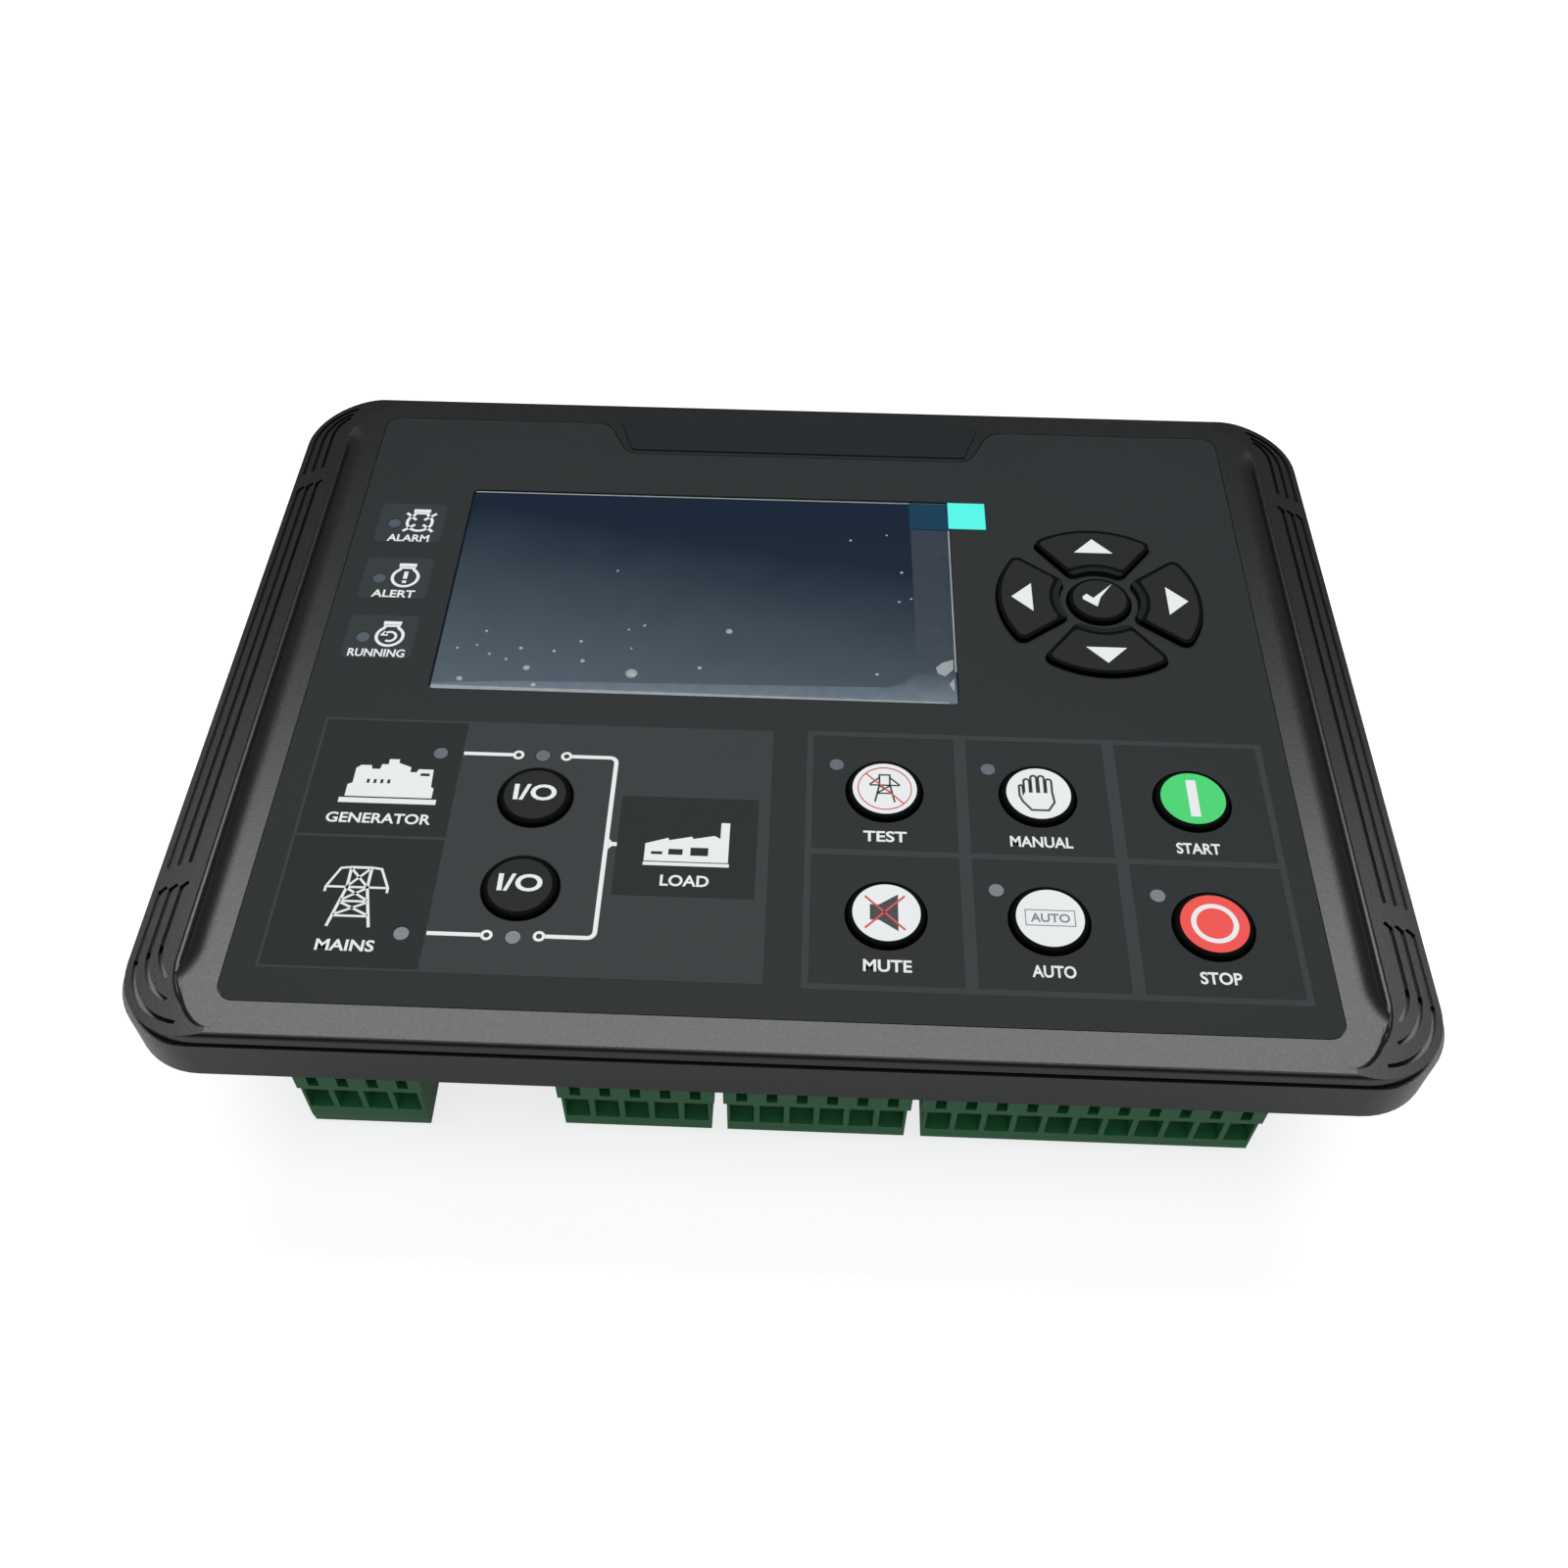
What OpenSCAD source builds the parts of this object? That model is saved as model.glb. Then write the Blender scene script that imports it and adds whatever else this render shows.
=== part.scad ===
// Panel-mounted generator controller, lying face up on the rear of its housing.
// X runs along the long side, Y towards the top of the face, Z out of the face.
// The origin is under the middle of the face, on the rear of the housing.

/* [Front bezel] */
// Width over the outer wall
bezel_w = 209.2; // [206.2:1:216.2]
// Height over the outer wall
bezel_h = 158.8; // [156.8:1:164.8]
// Corner radius of the outer wall
bezel_r = 13; // [12:0.5:14]
// Depth from the face to the rear of the housing
depth = 43.5; // [43:0.5:48]
// Depth of the bezel in front of the panel
bezel_t = 11.5; // [11:0.1:12]
// Drop from the face to the outer edge of the grooved side flanges
flange_drop = 1.85; // [1.6:0.05:2]
// Distance from the middle to the ridge beside the flange
ridge_x = 95.8; // [95:0.1:97]
// Width of the hollow between the flat face and the ridge
hollow_w = 4.6; // [3:0.1:5.5]
// Depth of the hollow at the foot of the ridge
hollow_drop = 1.35; // [1:0.05:1.5]
// Wall between the face recess and the inside
plate_t = 2.2; // [2:0.1:2.4]

/* [Overlay] */
// Width of the printed overlay
overlay_w = 176; // [174:1:178]
// Height of the printed overlay
overlay_h = 145; // [143:1:146]
// Thickness of the overlay
overlay_t = 0.5; // [0.3:0.1:0.6]
// Half width of the badge notch at the top edge
notch_top = 40.5; // [38:0.5:43]
// Half width of the badge notch at its foot
notch_foot = 36; // [32:0.5:37]
// Depth of the badge notch
notch_h = 9.8; // [8:0.2:11]

/* [Display] */
// Visible width of the display window
window_w = 97.2; // [95:0.2:98]
// Visible height of the display window
window_h = 55.4; // [54:0.2:56]
// Place of the window's middle along X
window_x = -17.5; // [-18:0.1:-17]
// Place of the window's middle along Y
window_y = 22.2; // [21.6:0.1:22.8]
// Thickness of the display panel
lcd_t = 2.9; // [2.5:0.1:3]

/* [Keys] */
// Diameter of the six function keys
key_d = 13; // [12:0.1:13.4]
// Diameter of the two breaker keys
breaker_key_d = 12.6; // [12:0.1:13.2]
// Height of the function and breaker keys above the face
key_h = 0.9; // [0.9:0.1:2]
// Diameter of the confirm key in the middle of the pad
confirm_d = 12; // [11.4:0.1:12.2]
// Outer radius of the four direction keys
pad_r = 19.5; // [19:0.1:20]
// Height of the pad keys above the face
pad_h = 1; // [0.6:0.1:1.6]
// Travel of every key
key_travel = 0.8; // [0.6:0.1:0.9]
// Gap between a key and its hole
key_gap = 0.3; // [0.25:0.05:0.35]

/* [Housing] */
// Width of the deck that enters the panel cut-out
deck_w = 185; // [183:1:186]
// Height of the deck that enters the panel cut-out
deck_h = 137; // [136:1:138]
// Width of the box behind the deck
box_w = 176; // [175:1:178]
// Height of the box behind the deck
box_h = 92; // [90:1:93]
// Wall thickness of the housing
wall = 2.5; // [2:0.1:2.6]

/* [Terminals] */
// Distance between neighbouring terminals
pitch = 5.08; // [5:0.08:5.08]
// Width of a wire entry
entry_w = 4.1; // [3.9:0.05:4.2]
// Height of a wire entry
entry_h = 6; // [5.6:0.1:6.2]
// Depth of the plugs' rear below the face
plug_back = 37.7; // [37:0.1:38]

/* [Hidden] */
$fn = 64;
eps = 0.01;
fit_gap = 0.15;

// Levels above the rear of the housing
z_face = depth;
z_skin = z_face - overlay_t;
z_plate = z_skin - plate_t;
z_seat = z_face - bezel_t;

// Bezel details: the cover lies on the wall above a parting groove
cover_inset = 0.3;
cover = [bezel_w, bezel_h] - 2 * cover_inset * [1, 1];
cover_r = 14;
rim_h = 2.2;
parting_h = 0.7;
parting_depth = 0.7;
z_rim = z_face - rim_h;
z_parting = z_rim - parting_h;
edge_r = 0.8;
flat_x = overlay_w / 2 + fit_gap;
flange_slope = flange_drop / (cover.x / 2 - flat_x);
plateau_inset = 1;
plateau = [2 * ridge_x, cover.y - 2 * plateau_inset];
plateau_r = 13.5;
plateau_edge_r = 0.5;
hollow_steps = 12;
hollow_end = 17;
hollow_turn = 6;
bead_r = 0.6;
bead_drop = 0.1;
z_bead = z_face - flange_slope * (ridge_x - flat_x) - bead_drop;
groove_w = 0.7;
groove_depth = 0.6;
groove_cut = 3;
groove_inset = [1.4, 3.1, 4.9];
groove_turn_x = 13.1;
groove_turn_low = [14.1, 15.6, 16.8];
groove_turn_high = [13.7, 13.1, 11.9];
groove_reach_low = [80, 63, 46];
groove_reach_high = [68, 59, 48];
groove_break_low = 30.7;
groove_break_high = 25.9;
groove_stagger_low = 0.5;
groove_stagger_high = 0.95;
groove_gap = 3.6;
hook_len = 1.4;
hook_turn = 40;
core_inset = 2.2;
core_w = 2.8;
core_h = 5.5;

// Overlay and badge
overlay_r = 3;
notch_r = 4;
badge_inset = 1.2;
badge_rise = 1;
badge_r = 1;
badge_proud = 0.2;
z_badge = z_face - overlay_t + badge_proud;

// Display: the window lies under the overlay's edge and the panel under the bezel's plate
window_t = 1.2;
window_lap = 2.9;
window_at = [window_x, window_y];
window_r = 1;
sight_lap = 0.9;
film_t = 0.12;
film_inset = 0.3;
tab_h = 7.8;
tab_free = 7.6;
tab_stuck = 7.8;
lcd = [105.5, 67.2];
carrier_rim = 1;
carrier_t = 0.8;
carrier_leg_r = 2;
carrier_leg_inset = 4;
cable_w = 22;
cable_t = 0.3;
cable_len = 7;
cable_lift = 0.6;

// Keys: a flange holds each cap under the bezel's plate, and its stem enters a push switch
key_flange = 0.75;
key_flange_t = 1.2;
key_edge_r = 0.7;
stem_r = 1.5;
stem_dip = 0.4;
switch_w = 6;
switch_h = 3;
switch_bore_r = 1.85;
switch_floor = 1.5;
switch_gap = 0.5;
z_key_flange = z_plate - key_gap - key_flange_t;
z_switch = z_key_flange - key_travel - switch_gap;
z_keypad = z_switch - switch_h;
lcd_clear = z_plate - lcd_t - z_keypad;
key_pitch = [26.5, 25.9];
key_first = [17.2, -26.5];
breaker_keys = [[-43, -30.3], [-43, -49.4]];
pad_at = [58.9, 21.9];
pad_inner_r = 7.8;
pad_half_angle = 37;
pad_corner_r = 1.5;
pad_mid_r = (pad_inner_r + pad_r) / 2;

// Status lamps and their light pipes
lamp_r = 1.25;
lamp_gap = 0.05;
lamp_offset = [-8.3, 5.8];
lamp_keys = [0, 1, 4, 5];
status_x = -80.5;
status_y = 22.9;
status_pitch = 16;
mimic_lamps = [[-61, -21], [-61, -59.1], [-42.9, -20.8], [-42.9, -59.1]];
lamp_size = [2, 1.6, 0.8];
pipe_collar = [2, 1];

// Boards and their fasteners
board_t = 1.6;
z_keypad_rear = z_keypad - board_t;
screw_r = 1.5;
screw_hole_r = 1.6;
thread_gap = 0.05;
head_r = 2.8;
head_h = 2;
head_slot = [3, 0.7, 1];
thread_end = 3;
thread_spare = 1;
post_at = [box_w / 2 - wall - head_r - 0.7, 31];
post_r = 3.2;
pillar_r = 3.6;
pillar_at = [deck_w / 2 - wall - pillar_r - 0.2, deck_h / 2 - wall - pillar_r - 0.4];
board_side_gap = 2;
keypad_size = [deck_w - 2 * wall - 2 * board_side_gap, 2 * pillar_at.y];
keypad_notch = [8, 9];

// Terminal rows: plugs stand out below and above the box, with their clamp screws to the rear
plug_front = 72.7;
plug_len = 15;
plug_h = 16.2;
z_plug = z_face - plug_back;
plug_bevel = 0.5;
plug_gap = 0.2;
plug_rail = [0.6, 6.6];
plug_foot = 2.6;
nose_len = 7.4;
nose_h = 10.2;
z_nose = z_plug + 4.2;
entry_depth = 8.2;
entry_floor = 3.4;
z_entry = z_plug + entry_floor;
slot_size = [1.8, 3, 3.6];
z_slot = z_plug + 10.7;
header_wall = 1;
header_len = 9.2;
header_room = 0.2;
z_header = z_nose - header_room - header_wall;
pin_w = 1;
pin_gap = 0.1;
pin_end_gap = 0.5;
z_pin = z_plug + 9.2;
pin_reach = 4.5;
cage_len = 5;
cage_at = 2.7;
cage_room = 0.1;
cage_hole = [2.7, 2.8];
cage_floor = 1.4;
clamp_head_r = 1.7;
clamp_sunk = 0.3;
clamp_slot = [4, 0.5, 0.6];
clamp_shank_r = 1.2;
clamp_tip = 0.7;
clamp_bore_r = 1.9;
lower_ways = [4, 5, 6, 11];
lower_x = [-70.5, -23.5, 7.15, 53.25];
upper_ways = [8, 8, 12];
upper_x = [-60, -14, 46];

// Housing and main board
z_ledge = z_plug + plug_h + plug_gap;
ledge_t = 2.2;
z_main = z_ledge + ledge_t;
z_main_front = z_main + board_t;
deck_entry = 3;
deck_r = 4;
box_r = 3;
pillar_rise = 0.5;
z_pillar = z_seat + deck_entry + pillar_rise;
pillar_hole_r = 1.7;
sink_depth = 2.5;
sink_r = 3.1;
clip_pocket = [1.5, 12, 6];
clip_y = 28;
z_clip = 13;
main_size = [keypad_size.x, 2 * (pillar_at.y - pillar_r) - 0.4];
connector_size = [30, 5];
connector_at = [0, -40];
gasket_w = 3;
gasket_t = 2;
gasket_proud = 0.5;
gasket_inset = 1.8;
gasket_gap = 0.1;

// Parts on the rear of the main board
relay = [19, 15.5, 15.3];
relay_at = [-64, 26];
relay_pitch = 22;
transformer = [16, 14, 17];
transformer_at = [-66, -26];
transformer_pitch = 21;
capacitor_r = 5;
capacitor_h = 16;
capacitor_at = [30, -26];
capacitor_pitch = 14;
chip = [14, 14, 1.4];
chip_at = [10, -8];
cell_r = 10;
cell_h = 3.2;
cell_at = [-50, -10];

function key_at(i) = [key_first.x + (i % 3) * key_pitch.x, key_first.y - floor(i / 3) * key_pitch.y];
function unit(v) = v / norm(v);
// Arc of radius r that rounds the corner q between its neighbours p and s
function corner_arc(p, q, s, r, n = 8) =
    let (a = unit(p - q), b = unit(s - q), half = acos(a * b) / 2,
        c = q + unit(a + b) * r / sin(half),
        from = q + a * r / tan(half) - c, to = q + b * r / tan(half) - c,
        start = atan2(from.y, from.x), turn = ((atan2(to.y, to.x) - start + 540) % 360) - 180)
    [for (i = [0:n]) c + r * [cos(start + turn * i / n), sin(start + turn * i / n)]];
function rounded(pts, r) =
    [for (i = [0:len(pts) - 1])
        each corner_arc(pts[(i + len(pts) - 1) % len(pts)], pts[i], pts[(i + 1) % len(pts)], r)];
lamp_places = concat(
    [for (i = [-1:1]) [status_x, status_y + i * status_pitch]],
    mimic_lamps,
    [for (i = lamp_keys) key_at(i) + lamp_offset]);
pad_places = [for (i = [0:3]) pad_at + pad_mid_r * [cos(i * 90), sin(i * 90)]];
switch_places = concat([for (i = [0:5]) key_at(i)], breaker_keys, [pad_at], pad_places);

module rounded_rect(size, r) {
    square([size.x - 2 * r, size.y], center = true);
    square([size.x, size.y - 2 * r], center = true);
    for (x = [-1, 1], y = [-1, 1])
        translate([x * (size.x / 2 - r), y * (size.y / 2 - r)]) circle(r);
}

module slab(size, r, z0, z1) {
    translate([0, 0, z0]) linear_extrude(z1 - z0) rounded_rect(size, r);
}

module ring(size, r, w, z0, z1) {
    difference() {
        slab(size, r, z0, z1);
        slab([size.x - 2 * w, size.y - 2 * w], max(r - w, 0.5), z0 - eps, z1 + eps);
    }
}

module block(size, at, z0) {
    translate([at.x - size.x / 2, at.y - size.y / 2, z0]) cube(size);
}

module rod(r, at, z0, z1) {
    translate([at.x, at.y, z0]) cylinder(r = r, h = z1 - z0);
}

module four(at) {
    for (x = [-1, 1], y = [-1, 1]) translate([x * at.x, y * at.y, 0]) children();
}

// Slab whose outer edge follows a profile: distance from the corner's centre against height
module profiled_slab(size, r, z0, z1) {
    inner = [size.x - 2 * r, size.y - 2 * r];
    block([inner.x, inner.y, z1 - z0], [0, 0], z0);
    for (k = [0:3]) rotate(k * 90) {
        run = k % 2 == 0 ? inner : [inner.y, inner.x];
        translate([run.x / 2, run.y / 2, 0]) rotate_extrude(angle = 90) children();
        translate([run.x / 2, run.y / 2, 0]) rotate([90, 0, 0]) linear_extrude(run.y) children();
    }
}

// Outline of the overlay, grown by a gap where the bezel holds it
module overlay_outline(gap) {
    difference() {
        rounded_rect([overlay_w + 2 * gap, overlay_h + 2 * gap], overlay_r + gap);
        notch_outline(-gap);
    }
}

// Badge notch: two slanting flanks that round into the top edge and into the notch's foot
module notch_outline(gap) {
    top = overlay_h / 2 - min(gap, 0);
    foot = overlay_h / 2 - notch_h - gap;
    reach = notch_top + 3 * notch_r;
    half = [[notch_top + gap, top], [notch_foot + gap, foot]];
    upper = corner_arc([reach, top], half[0], half[1], notch_r);
    lower = corner_arc(half[0], half[1], [0, foot], notch_r);
    right = concat([[reach, top]], upper, lower);
    left = [for (i = [len(right) - 1:-1:0]) [-right[i].x, right[i].y]];
    polygon(concat(right, left, [[-reach, top + 2], [reach, top + 2]]));
}

module badge_outline(gap) {
    top = overlay_h / 2 + badge_rise + gap;
    foot = overlay_h / 2 - notch_h + badge_inset - gap;
    wide = notch_top - 2 * badge_inset + gap;
    narrow = notch_foot - badge_inset + gap;
    polygon(rounded([[wide, top], [-wide, top], [-narrow, foot], [narrow, foot]], badge_r));
}

module window_opening(extra, z0, z1) {
    translate([window_x, window_y, 0]) slab([window_w + 2 * extra, window_h + 2 * extra], window_r, z0, z1);
}

// Sector of the navigation ring that points along +X, grown by a gap
module pad_sector(gap) {
    far = 2 * pad_r;
    offset(r = pad_corner_r + gap) offset(delta = -pad_corner_r) intersection() {
        difference() {
            circle(pad_r);
            circle(pad_inner_r);
        }
        polygon([[0, 0], far * [cos(pad_half_angle), -sin(pad_half_angle)], [far, 0],
            far * [cos(pad_half_angle), sin(pad_half_angle)]]);
    }
}

module key_holes(z0, z1) {
    for (i = [0:5]) rod(key_d / 2 + key_gap, key_at(i), z0, z1);
    for (at = breaker_keys) rod(breaker_key_d / 2 + key_gap, at, z0, z1);
    rod(confirm_d / 2 + key_gap, pad_at, z0, z1);
    for (i = [0:3])
        translate([pad_at.x, pad_at.y, z0]) rotate(i * 90) linear_extrude(z1 - z0) pad_sector(key_gap);
    for (at = lamp_places) rod(lamp_r + lamp_gap, at, z0, z1);
}

// Round key: cap with a rolled edge, retaining flange and stem
module round_key(d, at, height) {
    r = d / 2;
    top = z_face + height;
    translate([at.x, at.y, 0]) rotate_extrude() {
        translate([0, z_key_flange]) square([r, top - key_edge_r - z_key_flange]);
        translate([0, top - key_edge_r - eps]) square([r - key_edge_r, key_edge_r + eps]);
        translate([r - key_edge_r, top - key_edge_r]) intersection() {
            circle(key_edge_r);
            square(key_edge_r);
        }
        translate([0, z_key_flange]) square([r + key_flange, key_flange_t]);
        translate([0, z_switch - stem_dip]) square([stem_r, z_key_flange - z_switch + stem_dip + eps]);
    }
}

// Direction key: a sector of the ring with the same flange and stem
module pad_key(turn) {
    translate([pad_at.x, pad_at.y, 0]) rotate(turn) {
        translate([0, 0, z_key_flange]) linear_extrude(z_face + pad_h - z_key_flange) pad_sector(0);
        translate([0, 0, z_key_flange]) linear_extrude(key_flange_t) pad_sector(key_flange);
        rod(stem_r, [pad_mid_r, 0], z_switch - stem_dip, z_key_flange + eps);
    }
}

// Half section of a slab with a rolled upper edge, from the corner's centre outwards
module rolled_edge(r, roll, z0, z1) {
    translate([0, z0]) square([r, z1 - roll - z0]);
    translate([0, z0]) square([r - roll, z1 - z0]);
    translate([r - roll, z1 - roll]) circle(roll);
}

// Cover of the bezel: flat in the middle, falling to both sides as grooved flanges
module bezel_cover() {
    reach = bezel_w / 2;
    fall = z_face - flange_slope * (reach - flat_x);
    intersection() {
        profiled_slab(cover, cover_r, z_rim, z_face) rolled_edge(cover_r, edge_r, z_rim, z_face);
        translate([0, bezel_h / 2, 0]) rotate([90, 0, 0]) linear_extrude(bezel_h)
            polygon([[flat_x, z_face], [reach, fall], [reach, z_seat], [-reach, z_seat], [-reach, fall],
                [-flat_x, z_face]]);
    }
}

// Raised middle with rounded corners, standing above the flanges
module bezel_plateau() {
    profiled_slab(plateau, plateau_r, z_rim, z_face) rolled_edge(plateau_r, plateau_edge_r, z_rim, z_face);
}

// Hollow inside each ridge, which deepens outwards and runs out through the ridge at both ends
module side_hollows() {
    far = hollow_turn + hollow_w;
    curve = [for (i = [0:hollow_steps]) let (t = i / hollow_steps)
        [far - hollow_w * t, z_face - hollow_drop * t * t]];
    section = concat(curve, [[hollow_turn, z_face + 1], [far, z_face + 1]]);
    run = bezel_h / 2 - hollow_end;
    intersection() {
        slab(plateau, plateau_r, z_rim, z_face + 1);
        for (s = [0, 1]) mirror([s, 0, 0]) translate([ridge_x + hollow_turn, 0, 0]) {
            mirror([1, 0, 0]) translate([0, run, 0]) rotate([90, 0, 0])
                linear_extrude(2 * run) polygon(section);
            translate([0, run, 0]) rotate(90) rotate_extrude(angle = 90) polygon(section);
            translate([0, -run, 0]) rotate(180) rotate_extrude(angle = 90) polygon(section);
        }
    }
}

// Bright ridge along both sides, which follows the corners until the flange covers it
module bezel_ridge() {
    run = plateau.y - 2 * plateau_r;
    for (s = [-1, 1])
        translate([s * ridge_x, run / 2, z_bead]) rotate([90, 0, 0]) cylinder(r = bead_r, h = run);
    for (k = [0:3]) rotate(k * 90) {
        half = k % 2 == 0 ? plateau / 2 : [plateau.y, plateau.x] / 2;
        translate([half.x - plateau_r, half.y - plateau_r, z_bead])
            rotate_extrude(angle = 90) translate([plateau_r, 0]) circle(bead_r);
    }
}

// Three broken grooves on one side flange, hooked at the breaks and turning in at the corners
module flange_grooves() {
    z0 = z_face - flange_drop - groove_depth;
    rise = hook_len * cos(hook_turn);
    for (i = [0:2]) {
        x = cover.x / 2 - groove_inset[i];
        low = groove_break_low - cover.y / 2 + i * groove_stagger_low;
        high = cover.y / 2 - groove_break_high + i * groove_stagger_high;
        turn_low = groove_turn_low[i] - cover.y / 2;
        turn_high = cover.y / 2 - groove_turn_high[i];
        hooked = [[turn_low, low - groove_gap / 2 - rise],
            [low + groove_gap / 2, high - groove_gap / 2 - rise]];
        runs = concat(hooked, [[high + groove_gap / 2, turn_high]]);
        for (run = runs) block([groove_w, run[1] - run[0], groove_cut], [x, (run[0] + run[1]) / 2], z0);
        for (run = hooked) translate([x, run[1] - groove_w / 2, z0]) rotate(hook_turn)
            translate([-groove_w / 2, 0, 0]) cube([groove_w, hook_len, groove_cut]);
        bend_r = groove_turn_x - groove_inset[i];
        sweep_low = groove_reach_low[i];
        bends = [[turn_low, -sweep_low, sweep_low], [turn_high, 0, groove_reach_high[i]]];
        for (bend = bends) translate([x - bend_r, bend[0], z0]) rotate(bend[1])
            rotate_extrude(angle = bend[2])
                translate([bend_r - groove_w / 2, 0]) square([groove_w, groove_cut]);
    }
}

module front_bezel() {
    outline = [bezel_w, bezel_h];
    neck = cover - 2 * [parting_depth, parting_depth];
    core = outline - 2 * [core_inset, core_inset];
    color("#3a3b3c") difference() {
        union() {
            slab(outline, bezel_r, z_seat, z_parting);
            slab(neck, cover_r - parting_depth, z_parting - eps, z_rim + eps);
            difference() {
                union() {
                    bezel_cover();
                    bezel_plateau();
                }
                side_hollows();
            }
            bezel_ridge();
        }
        translate([0, 0, z_skin]) linear_extrude(overlay_t + eps) overlay_outline(fit_gap);
        translate([0, 0, z_badge]) linear_extrude(overlay_t) badge_outline(fit_gap);
        for (s = [0, 1]) mirror([s, 0, 0]) flange_grooves();
        slab([deck_w + 2 * fit_gap, deck_h + 2 * fit_gap], deck_r + fit_gap, z_seat - eps, z_plate);
        window_opening(window_lap + fit_gap, z_skin - window_t, z_face);
        window_opening(sight_lap, z_plate - eps, z_face);
        key_holes(z_plate - eps, z_face + eps);
        gasket_ring(gasket_gap, z_seat - eps, z_seat + gasket_t - gasket_proud);
        ring(core, bezel_r - core_inset, core_w, z_seat - eps, z_seat + core_h);
    }
    color("#3a3b3c") {
        four(post_at) boss(post_r, z_keypad);
        four(pillar_at) boss(pillar_r, z_pillar);
    }
}

// Moulded boss under the bezel's plate, bored for a screw
module boss(r, z0) {
    difference() {
        rod(r, [0, 0], z0, z_plate + eps);
        rod(screw_r + thread_gap, [0, 0], z0 - eps, z_plate - thread_end + thread_spare);
    }
}

module gasket_ring(gap, z0, z1) {
    size = [deck_w, deck_h] + 2 * [gasket_inset + gasket_w + gap, gasket_inset + gasket_w + gap];
    ring(size, deck_r + gasket_inset + gasket_w + gap, gasket_w + 2 * gap, z0, z1);
}

module panel_gasket() {
    color("#1c1c1e") gasket_ring(0, z_seat - gasket_proud, z_seat + gasket_t - gasket_proud);
}

module badge_plate() {
    color("#2c2e30") translate([0, 0, z_badge]) linear_extrude(overlay_t) badge_outline(0);
}

module front_overlay() {
    color("#2d2f30") difference() {
        translate([0, 0, z_skin]) linear_extrude(overlay_t) overlay_outline(0);
        window_opening(0, z_skin - eps, z_face + eps);
        key_holes(z_skin - eps, z_face + eps);
    }
}

module display_window() {
    color("#2a3440") window_opening(window_lap, z_skin - window_t, z_skin);
}

module protective_film() {
    color("#5d6b7c") window_opening(-film_inset, z_skin, z_skin + film_t);
}

// Pull tab: its stuck half lies on the film and its free half on the overlay
module film_pull_tab() {
    edge = window_x + window_w / 2 - film_inset;
    y0 = window_y + window_h / 2 - film_inset - tab_h;
    color("#4ff0dc") {
        translate([edge - tab_stuck, y0, z_skin + film_t]) cube([tab_stuck, tab_h, film_t]);
        translate([edge - film_t, y0, z_skin + film_t]) cube([film_t, tab_h, overlay_t]);
        translate([edge - film_t, y0, z_face]) cube([tab_free, tab_h, film_t]);
    }
}

module lcd_panel() {
    color("#20262e") block([lcd.x, lcd.y, lcd_t], window_at, z_plate - lcd_t);
}

// Carrier tray that holds the display panel off the keypad board
module lcd_frame() {
    outer = lcd + 2 * [carrier_rim + fit_gap, carrier_rim + fit_gap];
    z0 = z_plate - lcd_t - carrier_t;
    color("#b9bcc0") {
        difference() {
            block([outer.x, outer.y, carrier_t + lcd_t / 2], window_at, z0);
            block([lcd.x + 2 * fit_gap, lcd.y + 2 * fit_gap, lcd_t], window_at, z0 + carrier_t);
            block([cable_w + 1, outer.y - lcd.y, lcd_t], window_at - [0, lcd.y / 2], z0 + carrier_t);
        }
        translate([window_x, window_y, 0]) four(lcd / 2 - carrier_leg_inset * [1, 1])
            rod(carrier_leg_r, [0, 0], z_keypad, z0 + eps);
    }
}

// Flat cable from the panel's lower edge down to the keypad board
module lcd_flat_cable() {
    y0 = window_y - lcd.y / 2;
    drop = carrier_rim + 2 * fit_gap + cable_t;
    rise = lcd_clear + cable_lift;
    color("#b5762a") translate([window_x - cable_w / 2, y0 - drop, z_keypad]) {
        translate([0, 0, rise]) cube([cable_w, drop, cable_t]);
        translate([0, -cable_t, 0]) cube([cable_w, cable_t, rise + cable_t]);
        cube([cable_w, cable_len, cable_t]);
    }
}

module key_right() { color("#303234") pad_key(0); }
module key_up() { color("#303234") pad_key(90); }
module key_left() { color("#303234") pad_key(180); }
module key_down() { color("#303234") pad_key(270); }
module key_confirm() { color("#303234") round_key(confirm_d, pad_at, pad_h); }
module key_generator_breaker() { color("#303234") round_key(breaker_key_d, breaker_keys[0], key_h); }
module key_mains_breaker() { color("#303234") round_key(breaker_key_d, breaker_keys[1], key_h); }
module key_test() { color("#f4f4f4") round_key(key_d, key_at(0), key_h); }
module key_manual() { color("#f4f4f4") round_key(key_d, key_at(1), key_h); }
module key_start() { color("#5edf82") round_key(key_d, key_at(2), key_h); }
module key_mute() { color("#f4f4f4") round_key(key_d, key_at(3), key_h); }
module key_auto() { color("#f4f4f4") round_key(key_d, key_at(4), key_h); }
module key_stop() { color("#f3635d") round_key(key_d, key_at(5), key_h); }

module keypad_board() {
    notch = 2 * keypad_notch;
    color("#1d5a38") difference() {
        block([keypad_size.x, keypad_size.y, board_t], [0, 0], z_keypad_rear);
        four(keypad_size / 2) block([notch.x, notch.y, 2 * board_t], [0, 0], z_keypad_rear - eps);
        four(post_at) rod(screw_hole_r, [0, 0], z_keypad_rear - eps, z_keypad + eps);
    }
}

module push_switches() {
    color("#26282a") for (at = switch_places) difference() {
        block([switch_w, switch_w, switch_h], at, z_keypad);
        rod(switch_bore_r, at, z_keypad + switch_floor, z_switch + eps);
    }
}

module status_lamps() {
    color("#d8dcc8") for (at = lamp_places) block(lamp_size, at, z_keypad);
}

module light_pipes() {
    color("#9fb0bd") for (at = lamp_places) {
        rod(lamp_r, at, z_keypad + lamp_size.z, z_face);
        rod(pipe_collar[0], at, z_plate - pipe_collar[1], z_plate);
    }
}

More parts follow.
